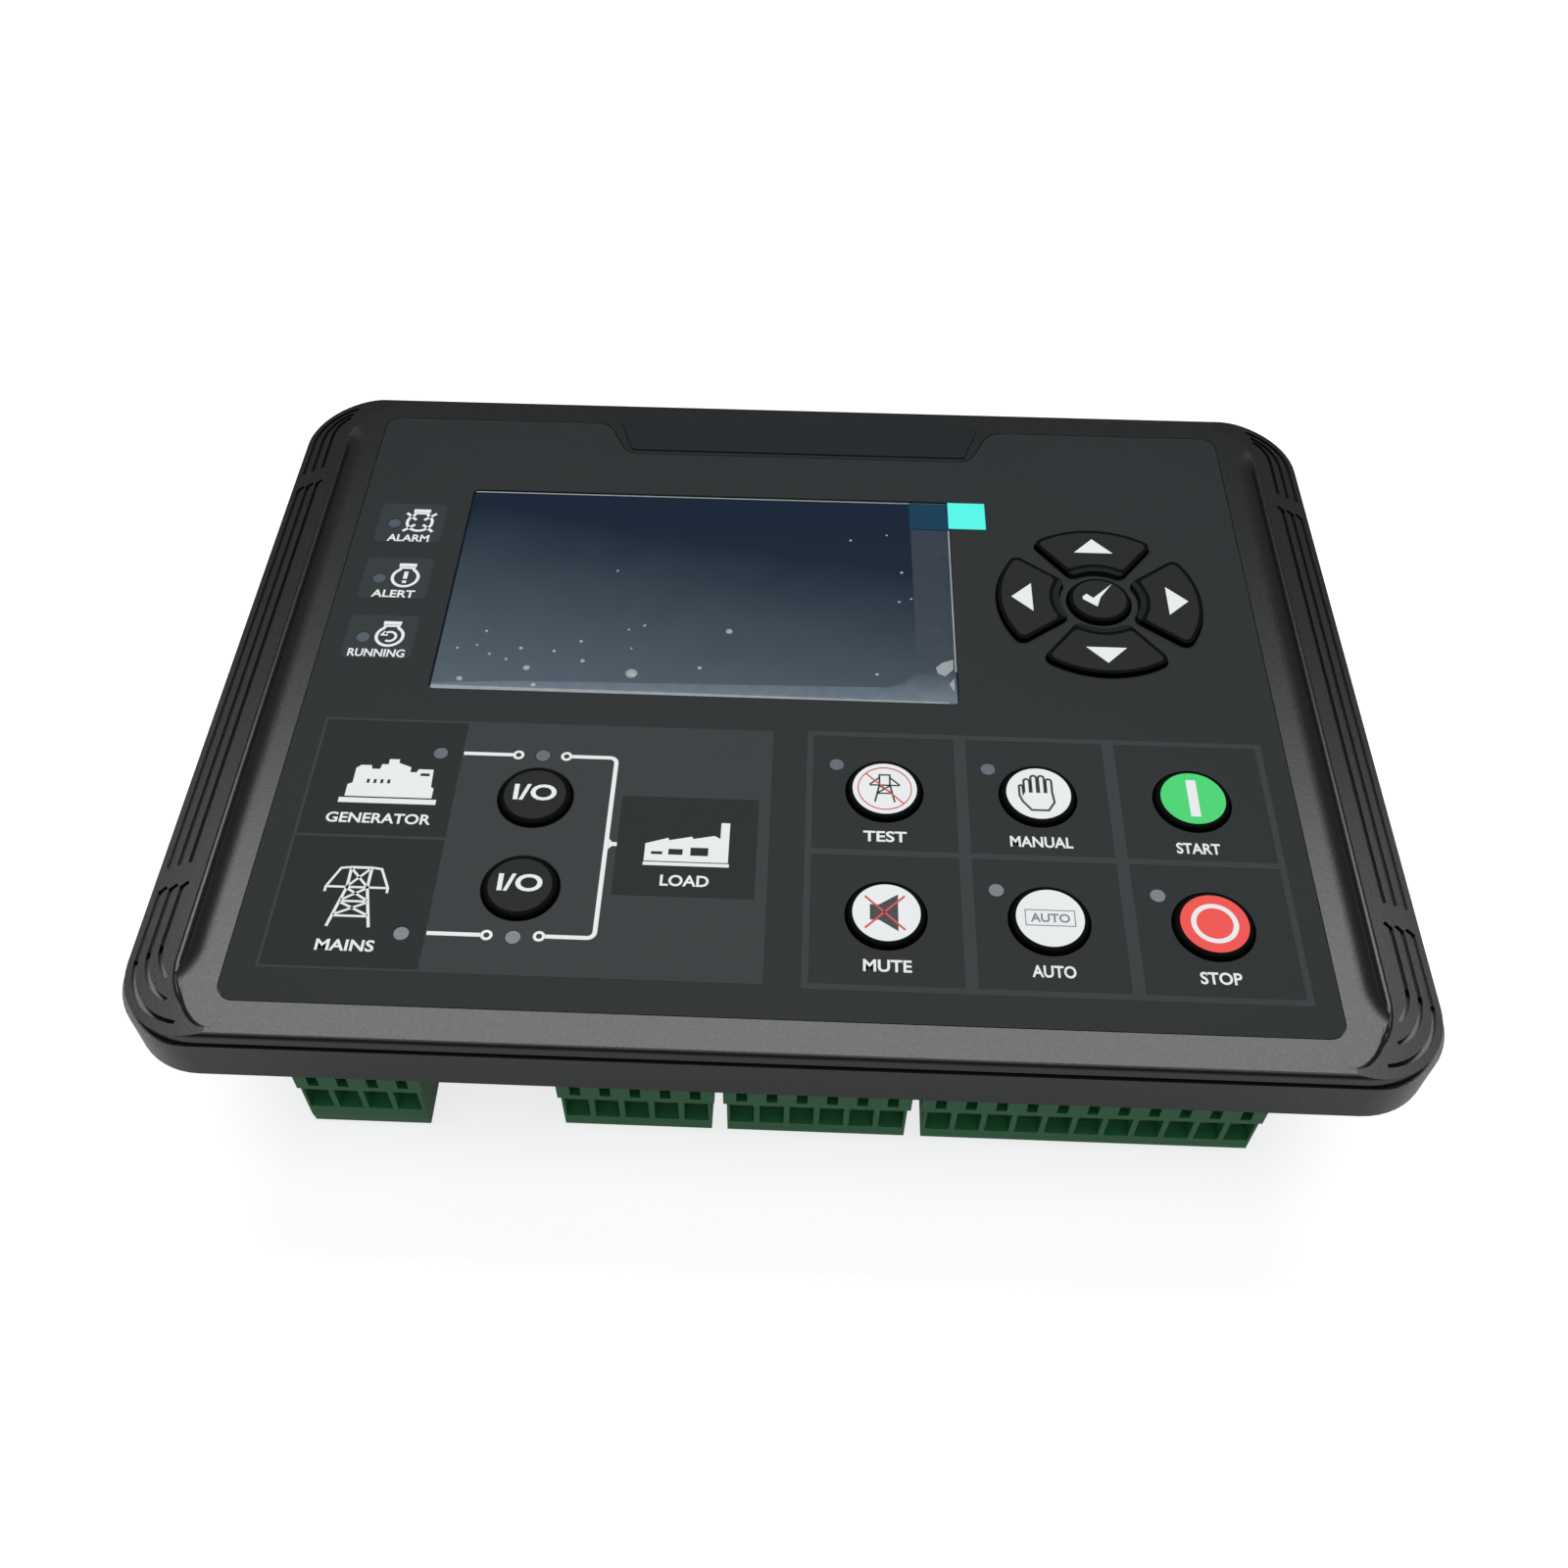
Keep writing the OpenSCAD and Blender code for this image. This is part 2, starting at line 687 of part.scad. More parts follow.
module main_board() {
    color("#1d5a38") difference() {
        block([main_size.x, main_size.y, board_t], [0, 0], z_main);
        four(post_at) rod(screw_hole_r, [0, 0], z_main - eps, z_main_front + eps);
    }
}

module board_standoffs() {
    color("#c9ccd0") four(post_at) difference() {
        rod(post_r, [0, 0], z_main_front, z_keypad_rear);
        rod(screw_hole_r, [0, 0], z_main_front - eps, z_keypad_rear + eps);
    }
}

// Pan-head screw whose head rests under the level z0
module screw(z0, z1) {
    rod(screw_r, [0, 0], z0 - eps, z1);
    difference() {
        rod(head_r, [0, 0], z0 - head_h, z0);
        for (a = [0, 90]) rotate(a) block(head_slot, [0, 0], z0 - head_h - eps);
    }
}

module board_screws() {
    color("#c9ccd0") four(post_at) screw(z_main, z_plate - thread_end);
}

module housing_screws() {
    color("#c9ccd0") four(pillar_at) screw(z_ledge + sink_depth, z_plate - thread_end);
}

module board_connector() {
    h = z_keypad_rear - z_main_front;
    color("#26282a") block([connector_size.x, connector_size.y, h], connector_at, z_main_front);
}

module relays() {
    color("#1f4f86") for (i = [0:4]) block(relay, relay_at + [i * relay_pitch, 0], z_main - relay.z);
}

module current_transformers() {
    color("#8a2f26") for (i = [0:2])
        block(transformer, transformer_at + [i * transformer_pitch, 0], z_main - transformer.z);
}

module capacitors() {
    color("#22324a") for (i = [0:2])
        rod(capacitor_r, capacitor_at + [i * capacitor_pitch, 0], z_main - capacitor_h, z_main);
}

module processor() {
    color("#1b1c1e") block(chip, chip_at, z_main - chip.z);
}

module backup_cell() {
    color("#c9ccd0") rod(cell_r, cell_at, z_main_front, z_main_front + cell_h);
}

module rear_housing() {
    deck = [deck_w, deck_h];
    box = [box_w, box_h];
    walls = 2 * wall * [1, 1];
    z_lip = z_seat + deck_entry;
    color("#232425") difference() {
        union() {
            difference() {
                slab(deck, deck_r, z_ledge, z_lip);
                slab(deck - walls, deck_r - wall / 2, z_main, z_lip + eps);
            }
            slab(box, box_r, 0, z_ledge + eps);
            four(pillar_at) rod(pillar_r, [0, 0], z_ledge, z_pillar);
        }
        slab(box - walls, box_r - wall / 2, wall, z_main + eps);
        header_slots(lower_ways, lower_x, 1);
        header_slots(upper_ways, upper_x, -1);
        four(pillar_at) {
            rod(pillar_hole_r, [0, 0], z_ledge - eps, z_pillar + eps);
            rod(sink_r, [0, 0], z_ledge - eps, z_ledge + sink_depth);
        }
        four([box_w / 2, clip_y]) block([2 * clip_pocket.x, clip_pocket.y, clip_pocket.z], [0, 0], z_clip);
    }
}

// Openings in the ledge through which the headers and pins of one row reach the board
module header_slots(ways, places, side) {
    for (i = [0:len(ways) - 1]) {
        room = [header_width(ways[i]), header_len + pin_w] + 2 * header_room * [1, 1];
        row_place(places[i], side) translate([-room.x / 2, plug_len - header_room, z_ledge - eps])
            cube([room.x, room.y, ledge_t + 2 * eps]);
    }
}

function header_width(ways) = ways * pitch + 2 * (header_wall + header_room / 2);
function pole_x(ways, i) = (i - (ways - 1) / 2) * pitch;

// Places a terminal block: its own Y runs from the wire face inwards, on the lower row for side 1
module row_place(x, side) {
    mirror([0, side < 0 ? 1 : 0, 0]) translate([x, -plug_front, 0]) children();
}

// Header on the main board: an open box that the plug's nose enters
module header(ways, x, side) {
    w = header_width(ways);
    color("#2f6b45") row_place(x, side) difference() {
        translate([-w / 2, plug_len, z_header]) cube([w, header_len, z_main - z_header]);
        translate([-w / 2 + header_wall, plug_len - eps, z_nose - header_room])
            cube([w - 2 * header_wall, header_len - header_wall, nose_h + 2 * header_room]);
        for (i = [0:ways - 1])
            translate([pole_x(ways, i) - pin_w / 2, plug_len + header_len - 2 * header_wall, z_pin])
                cube([pin_w, 3 * header_wall, pin_w]);
    }
}

// Pluggable block: wire entries and small windows in front, clamp screws to the rear, a nose for the header
module plug(ways, x, side, foot = 0) {
    w = ways * pitch;
    back = plug_len - plug_gap;
    top = z_plug + plug_h;
    rear = z_plug - foot;
    bevel = plug_bevel + foot;
    section = [[0, rear + bevel], [plug_bevel, rear], [back, rear], [back, top], [0, top]];
    color("#3f7a52") row_place(x, side) difference() {
        union() {
            translate([-w / 2, 0, 0]) rotate([90, 0, 90]) linear_extrude(w) polygon(section);
            translate([-w / 2 - plug_rail[0], 0, top - plug_rail[1]])
                cube([w + 2 * plug_rail[0], back, plug_rail[1]]);
            translate([-w / 2, back - eps, z_nose]) cube([w, nose_len + plug_gap + eps, nose_h]);
        }
        for (i = [0:ways - 1]) translate([pole_x(ways, i), 0, 0]) {
            translate([-entry_w / 2, -eps, z_entry]) cube([entry_w, entry_depth, entry_h]);
            translate([-slot_size.x / 2, -eps, z_slot]) cube(slot_size);
            rod(clamp_bore_r, [0, cage_at + cage_len / 2], rear - eps, z_entry + eps);
            translate([-pin_w / 2 - pin_gap, plug_len + nose_len - pin_reach, z_pin - pin_gap])
                cube([pin_w + 2 * pin_gap, pin_reach + eps, pin_w + 2 * pin_gap]);
        }
    }
}

module each_pole(ways, places, side) {
    for (b = [0:len(ways) - 1], i = [0:ways[b] - 1])
        row_place(places[b], side) translate([pole_x(ways[b], i), 0, 0]) children();
}

module both_rows() {
    each_pole(lower_ways, lower_x, 1) children();
    each_pole(upper_ways, upper_x, -1) children();
}

// Bent pin: down from the main board behind the header, then forward into the plug
module header_pins() {
    back = plug_len + header_len;
    front = plug_len + nose_len - pin_reach + pin_end_gap;
    color("#c9ccd0") both_rows() {
        translate([-pin_w / 2, front, z_pin]) cube([pin_w, back + pin_w - front, pin_w]);
        translate([-pin_w / 2, back, z_pin]) cube([pin_w, pin_w, z_main - z_pin]);
    }
}

module clamp_cages() {
    w = entry_w - 2 * cage_room;
    h = entry_h - 2 * cage_room;
    z0 = z_entry + cage_room;
    color("#c9ccd0") both_rows() difference() {
        translate([-w / 2, cage_at, z0]) cube([w, cage_len, h]);
        translate([-cage_hole.x / 2, cage_at - eps, z0 + cage_floor])
            cube([cage_hole.x, cage_len + 2 * eps, cage_hole.y]);
        rod(clamp_shank_r + thread_gap, [0, cage_at + cage_len / 2], z0 - eps, z0 + cage_floor + eps);
    }
}

module clamp_screws() {
    z0 = z_entry + cage_room;
    at = [0, cage_at + cage_len / 2];
    color("#c9ccd0") both_rows() {
        rod(clamp_shank_r, at, z0 - eps, z0 + cage_floor + clamp_tip);
        difference() {
            rod(clamp_head_r, at, z_plug + clamp_sunk, z0);
            block(clamp_slot, at, z_plug + clamp_sunk - eps);
        }
    }
}

module lower_header_1() { header(lower_ways[0], lower_x[0], 1); }
module lower_header_2() { header(lower_ways[1], lower_x[1], 1); }
module lower_header_3() { header(lower_ways[2], lower_x[2], 1); }
module lower_header_4() { header(lower_ways[3], lower_x[3], 1); }
module lower_plug_1() { plug(lower_ways[0], lower_x[0], 1, plug_foot); }
module lower_plug_2() { plug(lower_ways[1], lower_x[1], 1); }
module lower_plug_3() { plug(lower_ways[2], lower_x[2], 1); }
module lower_plug_4() { plug(lower_ways[3], lower_x[3], 1); }
module upper_header_1() { header(upper_ways[0], upper_x[0], -1); }
module upper_header_2() { header(upper_ways[1], upper_x[1], -1); }
module upper_header_3() { header(upper_ways[2], upper_x[2], -1); }
module upper_plug_1() { plug(upper_ways[0], upper_x[0], -1); }
module upper_plug_2() { plug(upper_ways[1], upper_x[1], -1); }
module upper_plug_3() { plug(upper_ways[2], upper_x[2], -1); }

front_bezel();
badge_plate();
front_overlay();
display_window();
protective_film();
film_pull_tab();
panel_gasket();
lcd_panel();
lcd_frame();
lcd_flat_cable();
key_up();
key_down();
key_left();
key_right();
key_confirm();
key_generator_breaker();
key_mains_breaker();
key_test();
key_manual();
key_start();
key_mute();
key_auto();
key_stop();
keypad_board();
push_switches();
status_lamps();
light_pipes();
main_board();
board_standoffs();
board_screws();
board_connector();
relays();
current_transformers();
capacitors();
processor();
backup_cell();
rear_housing();
housing_screws();
lower_header_1();
lower_header_2();
lower_header_3();
lower_header_4();
lower_plug_1();
lower_plug_2();
lower_plug_3();
lower_plug_4();
upper_header_1();
upper_header_2();
upper_header_3();
upper_plug_1();
upper_plug_2();
upper_plug_3();
header_pins();
clamp_cages();
clamp_screws();
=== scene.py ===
import math

import bmesh
import bpy
from mathutils import Matrix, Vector
from mathutils.geometry import tessellate_polygon


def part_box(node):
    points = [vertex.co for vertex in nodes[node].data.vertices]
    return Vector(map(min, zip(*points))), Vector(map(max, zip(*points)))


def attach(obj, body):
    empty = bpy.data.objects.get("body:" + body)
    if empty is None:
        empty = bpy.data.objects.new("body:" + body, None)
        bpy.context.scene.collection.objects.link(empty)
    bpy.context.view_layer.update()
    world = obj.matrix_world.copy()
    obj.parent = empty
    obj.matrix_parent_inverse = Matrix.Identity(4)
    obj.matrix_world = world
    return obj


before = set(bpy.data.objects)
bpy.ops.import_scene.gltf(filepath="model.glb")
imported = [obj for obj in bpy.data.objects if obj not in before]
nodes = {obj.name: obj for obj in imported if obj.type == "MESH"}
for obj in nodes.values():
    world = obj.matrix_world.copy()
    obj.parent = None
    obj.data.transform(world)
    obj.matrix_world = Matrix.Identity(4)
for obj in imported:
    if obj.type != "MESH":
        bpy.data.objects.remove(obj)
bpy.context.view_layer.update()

# Camera: the controller lies on its back and is seen from above and in front, about
# a forearm's length away, so its lower edge looks wider than its upper one.
MM = 0.001
EYE = (1.82 * MM, -196.41 * MM, 253.55 * MM)
RIGHT = (0.999203115, 0.039859181, 0.002092854)
UP = (-0.032241269, 0.775102728, 0.631012093)
BACK = (0.023529448, -0.630576725, 0.775770171)
SENSOR_MM, FOCAL_MM, SHIFT = 36.0, 35.74, 0.01586
NEAREST = 10 * MM
lens = bpy.data.cameras.new("camera")
lens.sensor_width = SENSOR_MM
lens.lens = FOCAL_MM
lens.shift_x = SHIFT
lens.clip_start = NEAREST
camera = bpy.data.objects.new("camera", lens)
axis_rows = [(*axes, eye) for axes, eye in zip(zip(RIGHT, UP, BACK), EYE)]
camera.matrix_world = Matrix([*axis_rows, (0, 0, 0, 1)])
bpy.context.scene.collection.objects.link(camera)
bpy.context.scene.camera = camera

# Rear housing: a deep box with a wide deck, moulded in one shot from black flame-retardant ABS.
# The mould was spark eroded, so the skin is an even fine grit with a dull sheen. The real grit is
# about a tenth of a millimetre, and is drawn at 0.45 mm so that it shows.
GRIT = 0.45 * MM
GRIT_BITE = 0.6
SHEEN_SPREAD = 0.06
CLOUD = 30 * MM
ABS_IOR = 1.54


def linear(code):
    """A colour written as sRGB hex, in the linear values that the shaders take."""
    channels = [int(code[i : i + 2], 16) / 255 for i in (1, 3, 5)]
    return (*[c / 12.92 if c <= 0.04045 else ((c + 0.055) / 1.055) ** 2.4 for c in channels], 1.0)


def add(material, kind, inputs, **settings):
    """One more node: its settings, and for each input a value or the output that feeds it."""
    node = material.node_tree.nodes.new(kind)
    for name, value in settings.items():
        setattr(node, name, value)
    for name, value in inputs.items():
        if isinstance(value, bpy.types.NodeSocket):
            material.node_tree.links.new(value, node.inputs[name])
        else:
            node.inputs[name].default_value = value
    return node


def empty_material(name):
    """A new material that holds no nodes yet."""
    material = bpy.data.materials.new(name)
    material.use_nodes = True
    material.node_tree.nodes.clear()
    return material


def moulded(name, colour, shade, roughness, ior, grit, relief, gloss=0.5):
    """Moulded plastic: two close shades in soft clouds, and a grit that breaks up the sheen."""
    material = empty_material(name)
    place = add(material, "ShaderNodeTexCoord", {}).outputs["Object"]
    grain = {"Vector": place, "Scale": 1 / grit, "Detail": 2.0}
    grain = add(material, "ShaderNodeTexNoise", grain).outputs["Fac"]
    cloud = {"Vector": place, "Scale": 1 / CLOUD, "Detail": 3.0}
    cloud = add(material, "ShaderNodeTexNoise", cloud).outputs["Fac"]
    tint = {0: cloud, 6: linear(shade), 7: linear(colour)}
    tint = add(material, "ShaderNodeMix", tint, data_type="RGBA").outputs[2]
    rough = {"Value": grain, "To Min": roughness - SHEEN_SPREAD, "To Max": roughness + SHEEN_SPREAD}
    rough = add(material, "ShaderNodeMapRange", rough).outputs["Result"]
    bump = {"Height": grain, "Strength": GRIT_BITE, "Distance": relief}
    bump = add(material, "ShaderNodeBump", bump).outputs["Normal"]
    skin = {"Base Color": tint, "Roughness": rough, "IOR": ior, "Specular IOR Level": gloss, "Normal": bump}
    surface = add(material, "ShaderNodeBsdfPrincipled", skin).outputs["BSDF"]
    add(material, "ShaderNodeOutputMaterial", {"Surface": surface})
    return material


def dress(material, *names):
    """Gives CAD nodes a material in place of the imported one."""
    for name in names:
        nodes[name].data.materials.clear()
        nodes[name].data.materials.append(material)


black_abs = moulded("black_abs_spark_grained", "#2a2b2c", "#232425", 0.5, ABS_IOR, GRIT, 0.02 * MM)
dress(black_abs, "rear_housing")

# Circuit boards: glass-fibre laminate under green solder mask. The mask is glossy, and the woven
# glass shows through it as a faint weave. Its threads lie half a millimetre apart, and are drawn
# at 0.8 mm so that they show.
WEAVE = 0.8 * MM
solder_mask = empty_material("green_solder_mask_on_glass_laminate")
place = add(solder_mask, "ShaderNodeTexCoord", {}).outputs["Object"]
aslant = {"Vector": place, "Rotation": (0.0, 0.0, math.pi / 4)}
aslant = add(solder_mask, "ShaderNodeMapping", aslant).outputs["Vector"]
weave = {"Vector": aslant, "Scale": 1 / WEAVE}
weave = add(solder_mask, "ShaderNodeTexChecker", weave).outputs["Fac"]
mask = {0: weave, 6: linear("#174a2e"), 7: linear("#1d5a38")}
mask = add(solder_mask, "ShaderNodeMix", mask, data_type="RGBA").outputs[2]
skin = {"Base Color": mask, "Roughness": 0.28, "IOR": 1.55}
surface = add(solder_mask, "ShaderNodeBsdfPrincipled", skin).outputs["BSDF"]
add(solder_mask, "ShaderNodeOutputMaterial", {"Surface": surface})
dress(solder_mask, "main_board", "keypad_board")

# Parts on the boards: moulded blocks and sleeved cans, soldered down, each in the colour of its
# trade. They come from smooth moulds, so they have a short satin sheen with faint flow marks,
# about 0.2 mm apart.
FLOW = 0.2 * MM
FLOW_RELIEF = 0.004 * MM
NYLON_IOR = 1.53
relay_case = moulded("blue_pbt_relay_case", "#2458a0", "#1f4f86", 0.38, 1.57, FLOW, FLOW_RELIEF)
transformer_case = moulded(
    "red_nylon_transformer_case", "#96352b", "#8a2f26", 0.42, NYLON_IOR, FLOW, FLOW_RELIEF
)
can_sleeve = moulded("navy_pvc_can_sleeve", "#26385a", "#22324a", 0.3, 1.53, FLOW, FLOW_RELIEF)
black_epoxy = moulded("black_epoxy_package", "#1f2022", "#18191b", 0.55, 1.55, FLOW, 0.006 * MM)
cream_lamp = moulded("cream_lamp_package", "#e2e4d2", "#d8dcc8", 0.4, 1.55, FLOW, FLOW_RELIEF)
dress(relay_case, "relays")
dress(transformer_case, "current_transformers")
dress(can_sleeve, "capacitors")
dress(black_epoxy, "processor", "board_connector", "push_switches")
dress(cream_lamp, "status_lamps")

# Screws, stand-offs, pins and clamp cages: steel and brass, barrel plated with zinc or tin, like
# the can of the cell and the tray of the display. Plating leaves a bright skin, with faint smears
# a millimetre or two across where the parts rubbed together.
SMEAR = 1.5 * MM
plated = empty_material("zinc_plated_steel_barrel_finished")
place = add(plated, "ShaderNodeTexCoord", {}).outputs["Object"]
smear = {"Vector": place, "Scale": 1 / SMEAR, "Detail": 3.0}
smear = add(plated, "ShaderNodeTexNoise", smear).outputs["Fac"]
shine = {"Value": smear, "To Min": 0.22, "To Max": 0.42}
shine = add(plated, "ShaderNodeMapRange", shine).outputs["Result"]
metal = {"Base Color": linear("#c9ccd0"), "Metallic": 1.0, "Roughness": shine}
surface = add(plated, "ShaderNodeBsdfPrincipled", metal).outputs["BSDF"]
add(plated, "ShaderNodeOutputMaterial", {"Surface": surface})
dress(plated, "board_standoffs", "board_screws", "housing_screws", "header_pins")
dress(plated, "clamp_cages", "clamp_screws", "backup_cell", "lcd_frame")

# Headers and pluggable terminal blocks: green glass-filled nylon from a polished mould.
# The plugs slide on to the headers' pins. The glass leaves a slightly cloudy satin skin.
NYLON_RELIEF = 0.006 * MM
header_nylon = moulded("green_nylon_header", "#2c7046", "#24603b", 0.42, NYLON_IOR, FLOW, NYLON_RELIEF)
# The plugs are painted a lighter green than the headers: painted light, standing in for light on their front
# faces.
plug_nylon_painted_lighter = moulded("green_nylon_plug", "#3d9158", "#34824b", 0.42, NYLON_IOR, FLOW, NYLON_RELIEF)
dress(header_nylon, *[name for name in nodes if "_header_" in name])
dress(plug_nylon_painted_lighter, *[name for name in nodes if "_plug_" in name])

# Display: a dark glass panel in a pressed tray, with a flat polyimide cable folded to the board.
# The glass is polished like a mirror, and the cable's copper shows through its amber film.
dark_glass = moulded("dark_display_glass", "#161c24", "#12171e", 0.12, 1.52, FLOW, 0.001 * MM)
amber_film = moulded("amber_polyimide_cable", "#b5762a", "#a2661f", 0.3, 1.6, FLOW, 0.002 * MM)
dress(dark_glass, "lcd_panel")
dress(amber_film, "lcd_flat_cable")

# Front bezel: a deep frame moulded in charcoal ABS, hollowed along the sides up to a ridge,
# with broken grooves on the side flanges. Its spark-eroded skin shines softly under a lamp.
charcoal_abs = moulded(
    "charcoal_abs_spark_grained", "#181916", "#151613", 0.29, ABS_IOR, GRIT, 0.017 * MM
)
dress(charcoal_abs, "front_bezel")

# Lower corners of the bezel's raised face: part of the same moulding, in charcoal ABS. The face
# runs on into both corners, past the edge that the solid has there, and rolls over to the flanges.
# The sweep is the foot of that roll, a curve of four points in millimetres, as all plan sizes are.
Z_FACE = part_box("front_overlay")[1].z
SWEEP = ((94.45, -70.4), (93.19, -74.4), (90.4, -78.25), (87.2, -78.25))
TURN_X, TURN_Y, START_R = 82.3, -64.6, 11.0
ROLL, LIFT, ROOT = 0.8, 0.02, 1.2
SWEEP_STEPS, ROLL_STEPS = 20, 4
FIRST_ROLL = 3


def swept(t):
    """A point of the sweep and the unit vector from it into the face, at t from 0 to 1."""
    a, b, c, d = (1 - t) ** 3, 3 * t * (1 - t) ** 2, 3 * t * t * (1 - t), t**3
    x, y = (a * p + b * q + c * r + d * s for p, q, r, s in zip(*SWEEP))
    steps = [[q - p for p, q in zip(SWEEP[i], SWEEP[i + 1])] for i in range(3)]
    dx, dy = ((1 - t) ** 2 * p + 2 * t * (1 - t) * q + t * t * r for p, q, r in zip(*steps))
    size = math.hypot(dx, dy)
    return x, y, dy / size, -dx / size


def settle(name, mesh, material, body):
    """Makes a piece from a finished mesh, and gives it its material and body."""
    data = bpy.data.meshes.new(name)
    mesh.to_mesh(data)
    mesh.free()
    piece = bpy.data.objects.new(name, data)
    piece.data.materials.append(material)
    bpy.context.scene.collection.objects.link(piece)
    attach(piece, body)


corner_mesh = bmesh.new()
for side in (1, -1):
    rows = []
    for i in range(SWEEP_STEPS + 1):
        x, y, nx, ny = swept(i / SWEEP_STEPS)
        reach = START_R / math.hypot(x - TURN_X, y - TURN_Y)
        start = (TURN_X + (x - TURN_X) * reach, TURN_Y + (y - TURN_Y) * reach)
        section = [(*start, -ROOT), (*start, LIFT)]
        for k in range(ROLL_STEPS + 1):
            turn = math.pi / 2 * k / ROLL_STEPS
            inset = ROLL * (1 - math.sin(turn))
            section.append((x + nx * inset, y + ny * inset, LIFT - ROLL * (1 - math.cos(turn))))
        section.append((x, y, -ROOT))
        spots = [(side * px * MM, py * MM, Z_FACE + pz * MM) for px, py, pz in section]
        rows.append([corner_mesh.verts.new(spot) for spot in spots])
    for row, after in zip(rows, rows[1:]):
        for i in range(len(row)):
            face = corner_mesh.faces.new((row[i - 1], row[i], after[i], after[i - 1]))
            face.smooth = FIRST_ROLL <= i < FIRST_ROLL + ROLL_STEPS
    corner_mesh.faces.new(rows[0])
    corner_mesh.faces.new(rows[-1])
bmesh.ops.recalc_face_normals(corner_mesh, faces=corner_mesh.faces[:])
settle("bezel_face_corners", corner_mesh, charcoal_abs, "controller")

# Gasket: a cord of black foam rubber pressed into the groove on the bezel's rear.
# Its cells are half a millimetre or so across, and leave a dead, dull black skin.
FOAM_CELL = 0.6 * MM
foam_rubber = moulded("black_foam_rubber", "#1e1e20", "#171719", 0.85, 1.5, FOAM_CELL, 0.08 * MM)
dress(foam_rubber, "panel_gasket")

# Overlay: polycarbonate film, printed black from behind and glued into the bezel's recess.
# Its face is embossed with a fine velvet, which takes off the shine. The real velvet is a few
# hundredths of a millimetre, and is drawn at 0.3 mm so that it shows.
VELVET = 0.3 * MM
OVERLAY_BLACK, OVERLAY_SHADE = "#202425", "#1d2122"
FILM_IOR = 1.58
velvet_film = moulded(
    "black_printed_velvet_polycarbonate", OVERLAY_BLACK, OVERLAY_SHADE, 0.6, FILM_IOR, VELVET, 0.006 * MM, 0.2
)
dress(velvet_film, "front_overlay")

# Badge plate: a thin blank plate of printed polycarbonate, glued into the notch at the top.
# It is smoother than the overlay, so it looks a little glossier and bluer.
badge_film = moulded(
    "dark_blank_badge_film", "#13181e", "#10151a", 0.36, FILM_IOR, VELVET, 0.004 * MM, 0.25
)
dress(badge_film, "badge_plate")

# Light pipes: clear acrylic rods over the lamps of the keypad board, which end flush with the overlay.
# Their cut ends look milky grey while the lamps are off.
ACRYLIC_IOR = 1.49
milky_acrylic = moulded(
    "milky_acrylic_light_pipe", "#555e69", "#4a535d", 0.25, ACRYLIC_IOR, FLOW, 0.002 * MM
)
dress(milky_acrylic, "light_pipes")

# Printed fields: grey and black ink screened on the overlay, each coat a few hundredths of a millimetre
# thick. Pale panels mark the status lamps, the supply diagram and the frame of the function keys.
# The ink takes on the overlay's velvet and dries dull.
INK = 0.03 * MM
INK_IOR, INK_RELIEF = 1.52, 0.004 * MM
SAME_PLACE = 1e-6
SHARPEST_MITRE = 0.35


def screened(name, colour, shade, roughness, gloss=0.5):
    """Screen ink: a moulded skin as fine as the velvet under it."""
    return moulded(name, colour, shade, roughness, INK_IOR, VELVET, INK_RELIEF, gloss)


def outline(points, width, closed=False):
    """A line of constant width through points, as one strip of quads with mitred corners."""
    apart = [not (closed or i) or math.dist(p, points[i - 1]) > SAME_PLACE for i, p in enumerate(points)]
    points = [p for p, kept in zip(points, apart) if kept]
    n = len(points)
    sides = []
    for i, (x, y) in enumerate(points):
        before = points[i - 1] if closed or i else None
        after = points[(i + 1) % n] if closed or i < n - 1 else None
        normals = []
        for a, b in ((before, (x, y)), ((x, y), after)):
            if a and b:
                dx, dy = b[0] - a[0], b[1] - a[1]
                normals.append((-dy / math.hypot(dx, dy), dx / math.hypot(dx, dy)))
        mx, my = sum(m[0] for m in normals), sum(m[1] for m in normals)
        size = math.hypot(mx, my)
        mx, my = mx / size, my / size
        reach = width / 2 / max(SHARPEST_MITRE, mx * normals[0][0] + my * normals[0][1])
        sides.append(((x + mx * reach, y + my * reach), (x - mx * reach, y - my * reach)))
    strip = range(n if closed else n - 1)
    return [[[*sides[i], *reversed(sides[(i + 1) % n])] for i in strip]]


def circle(x, y, r, n=40):
    """The points of a circle."""
    turns = [2 * math.pi * i / n for i in range(n)]
    return [(x + r * math.cos(a), y + r * math.sin(a)) for a in turns]


def rectangle(x0, y0, x1, y1, r=0.0):
    """The points of a rectangle, with round corners where r is given."""
    if not r:
        return [(x0, y0), (x1, y0), (x1, y1), (x0, y1)]
    middles = ((x1 - r, y1 - r, 0), (x0 + r, y1 - r, 90), (x0 + r, y0 + r, 180), (x1 - r, y0 + r, 270))
    turns = [(x, y, math.radians(a + s * 15)) for x, y, a in middles for s in range(7)]
    return [(x + r * math.cos(a), y + r * math.sin(a)) for x, y, a in turns]


def pierced(edge, holes):
    """The area inside edge, less the holes that lie in it, as triangles."""
    xs, ys = [p[0] for p in edge], [p[1] for p in edge]
    inside = [h for h in holes if min(xs) < h[0][0] < max(xs) and min(ys) < h[0][1] < max(ys)]
    loops = [edge, *inside]
    points = [p for loop in loops for p in loop]
    filled = tessellate_polygon([[(x, y, 0.0) for x, y in loop] for loop in loops])
    return [[points[i] for i in triangle] for triangle in filled]


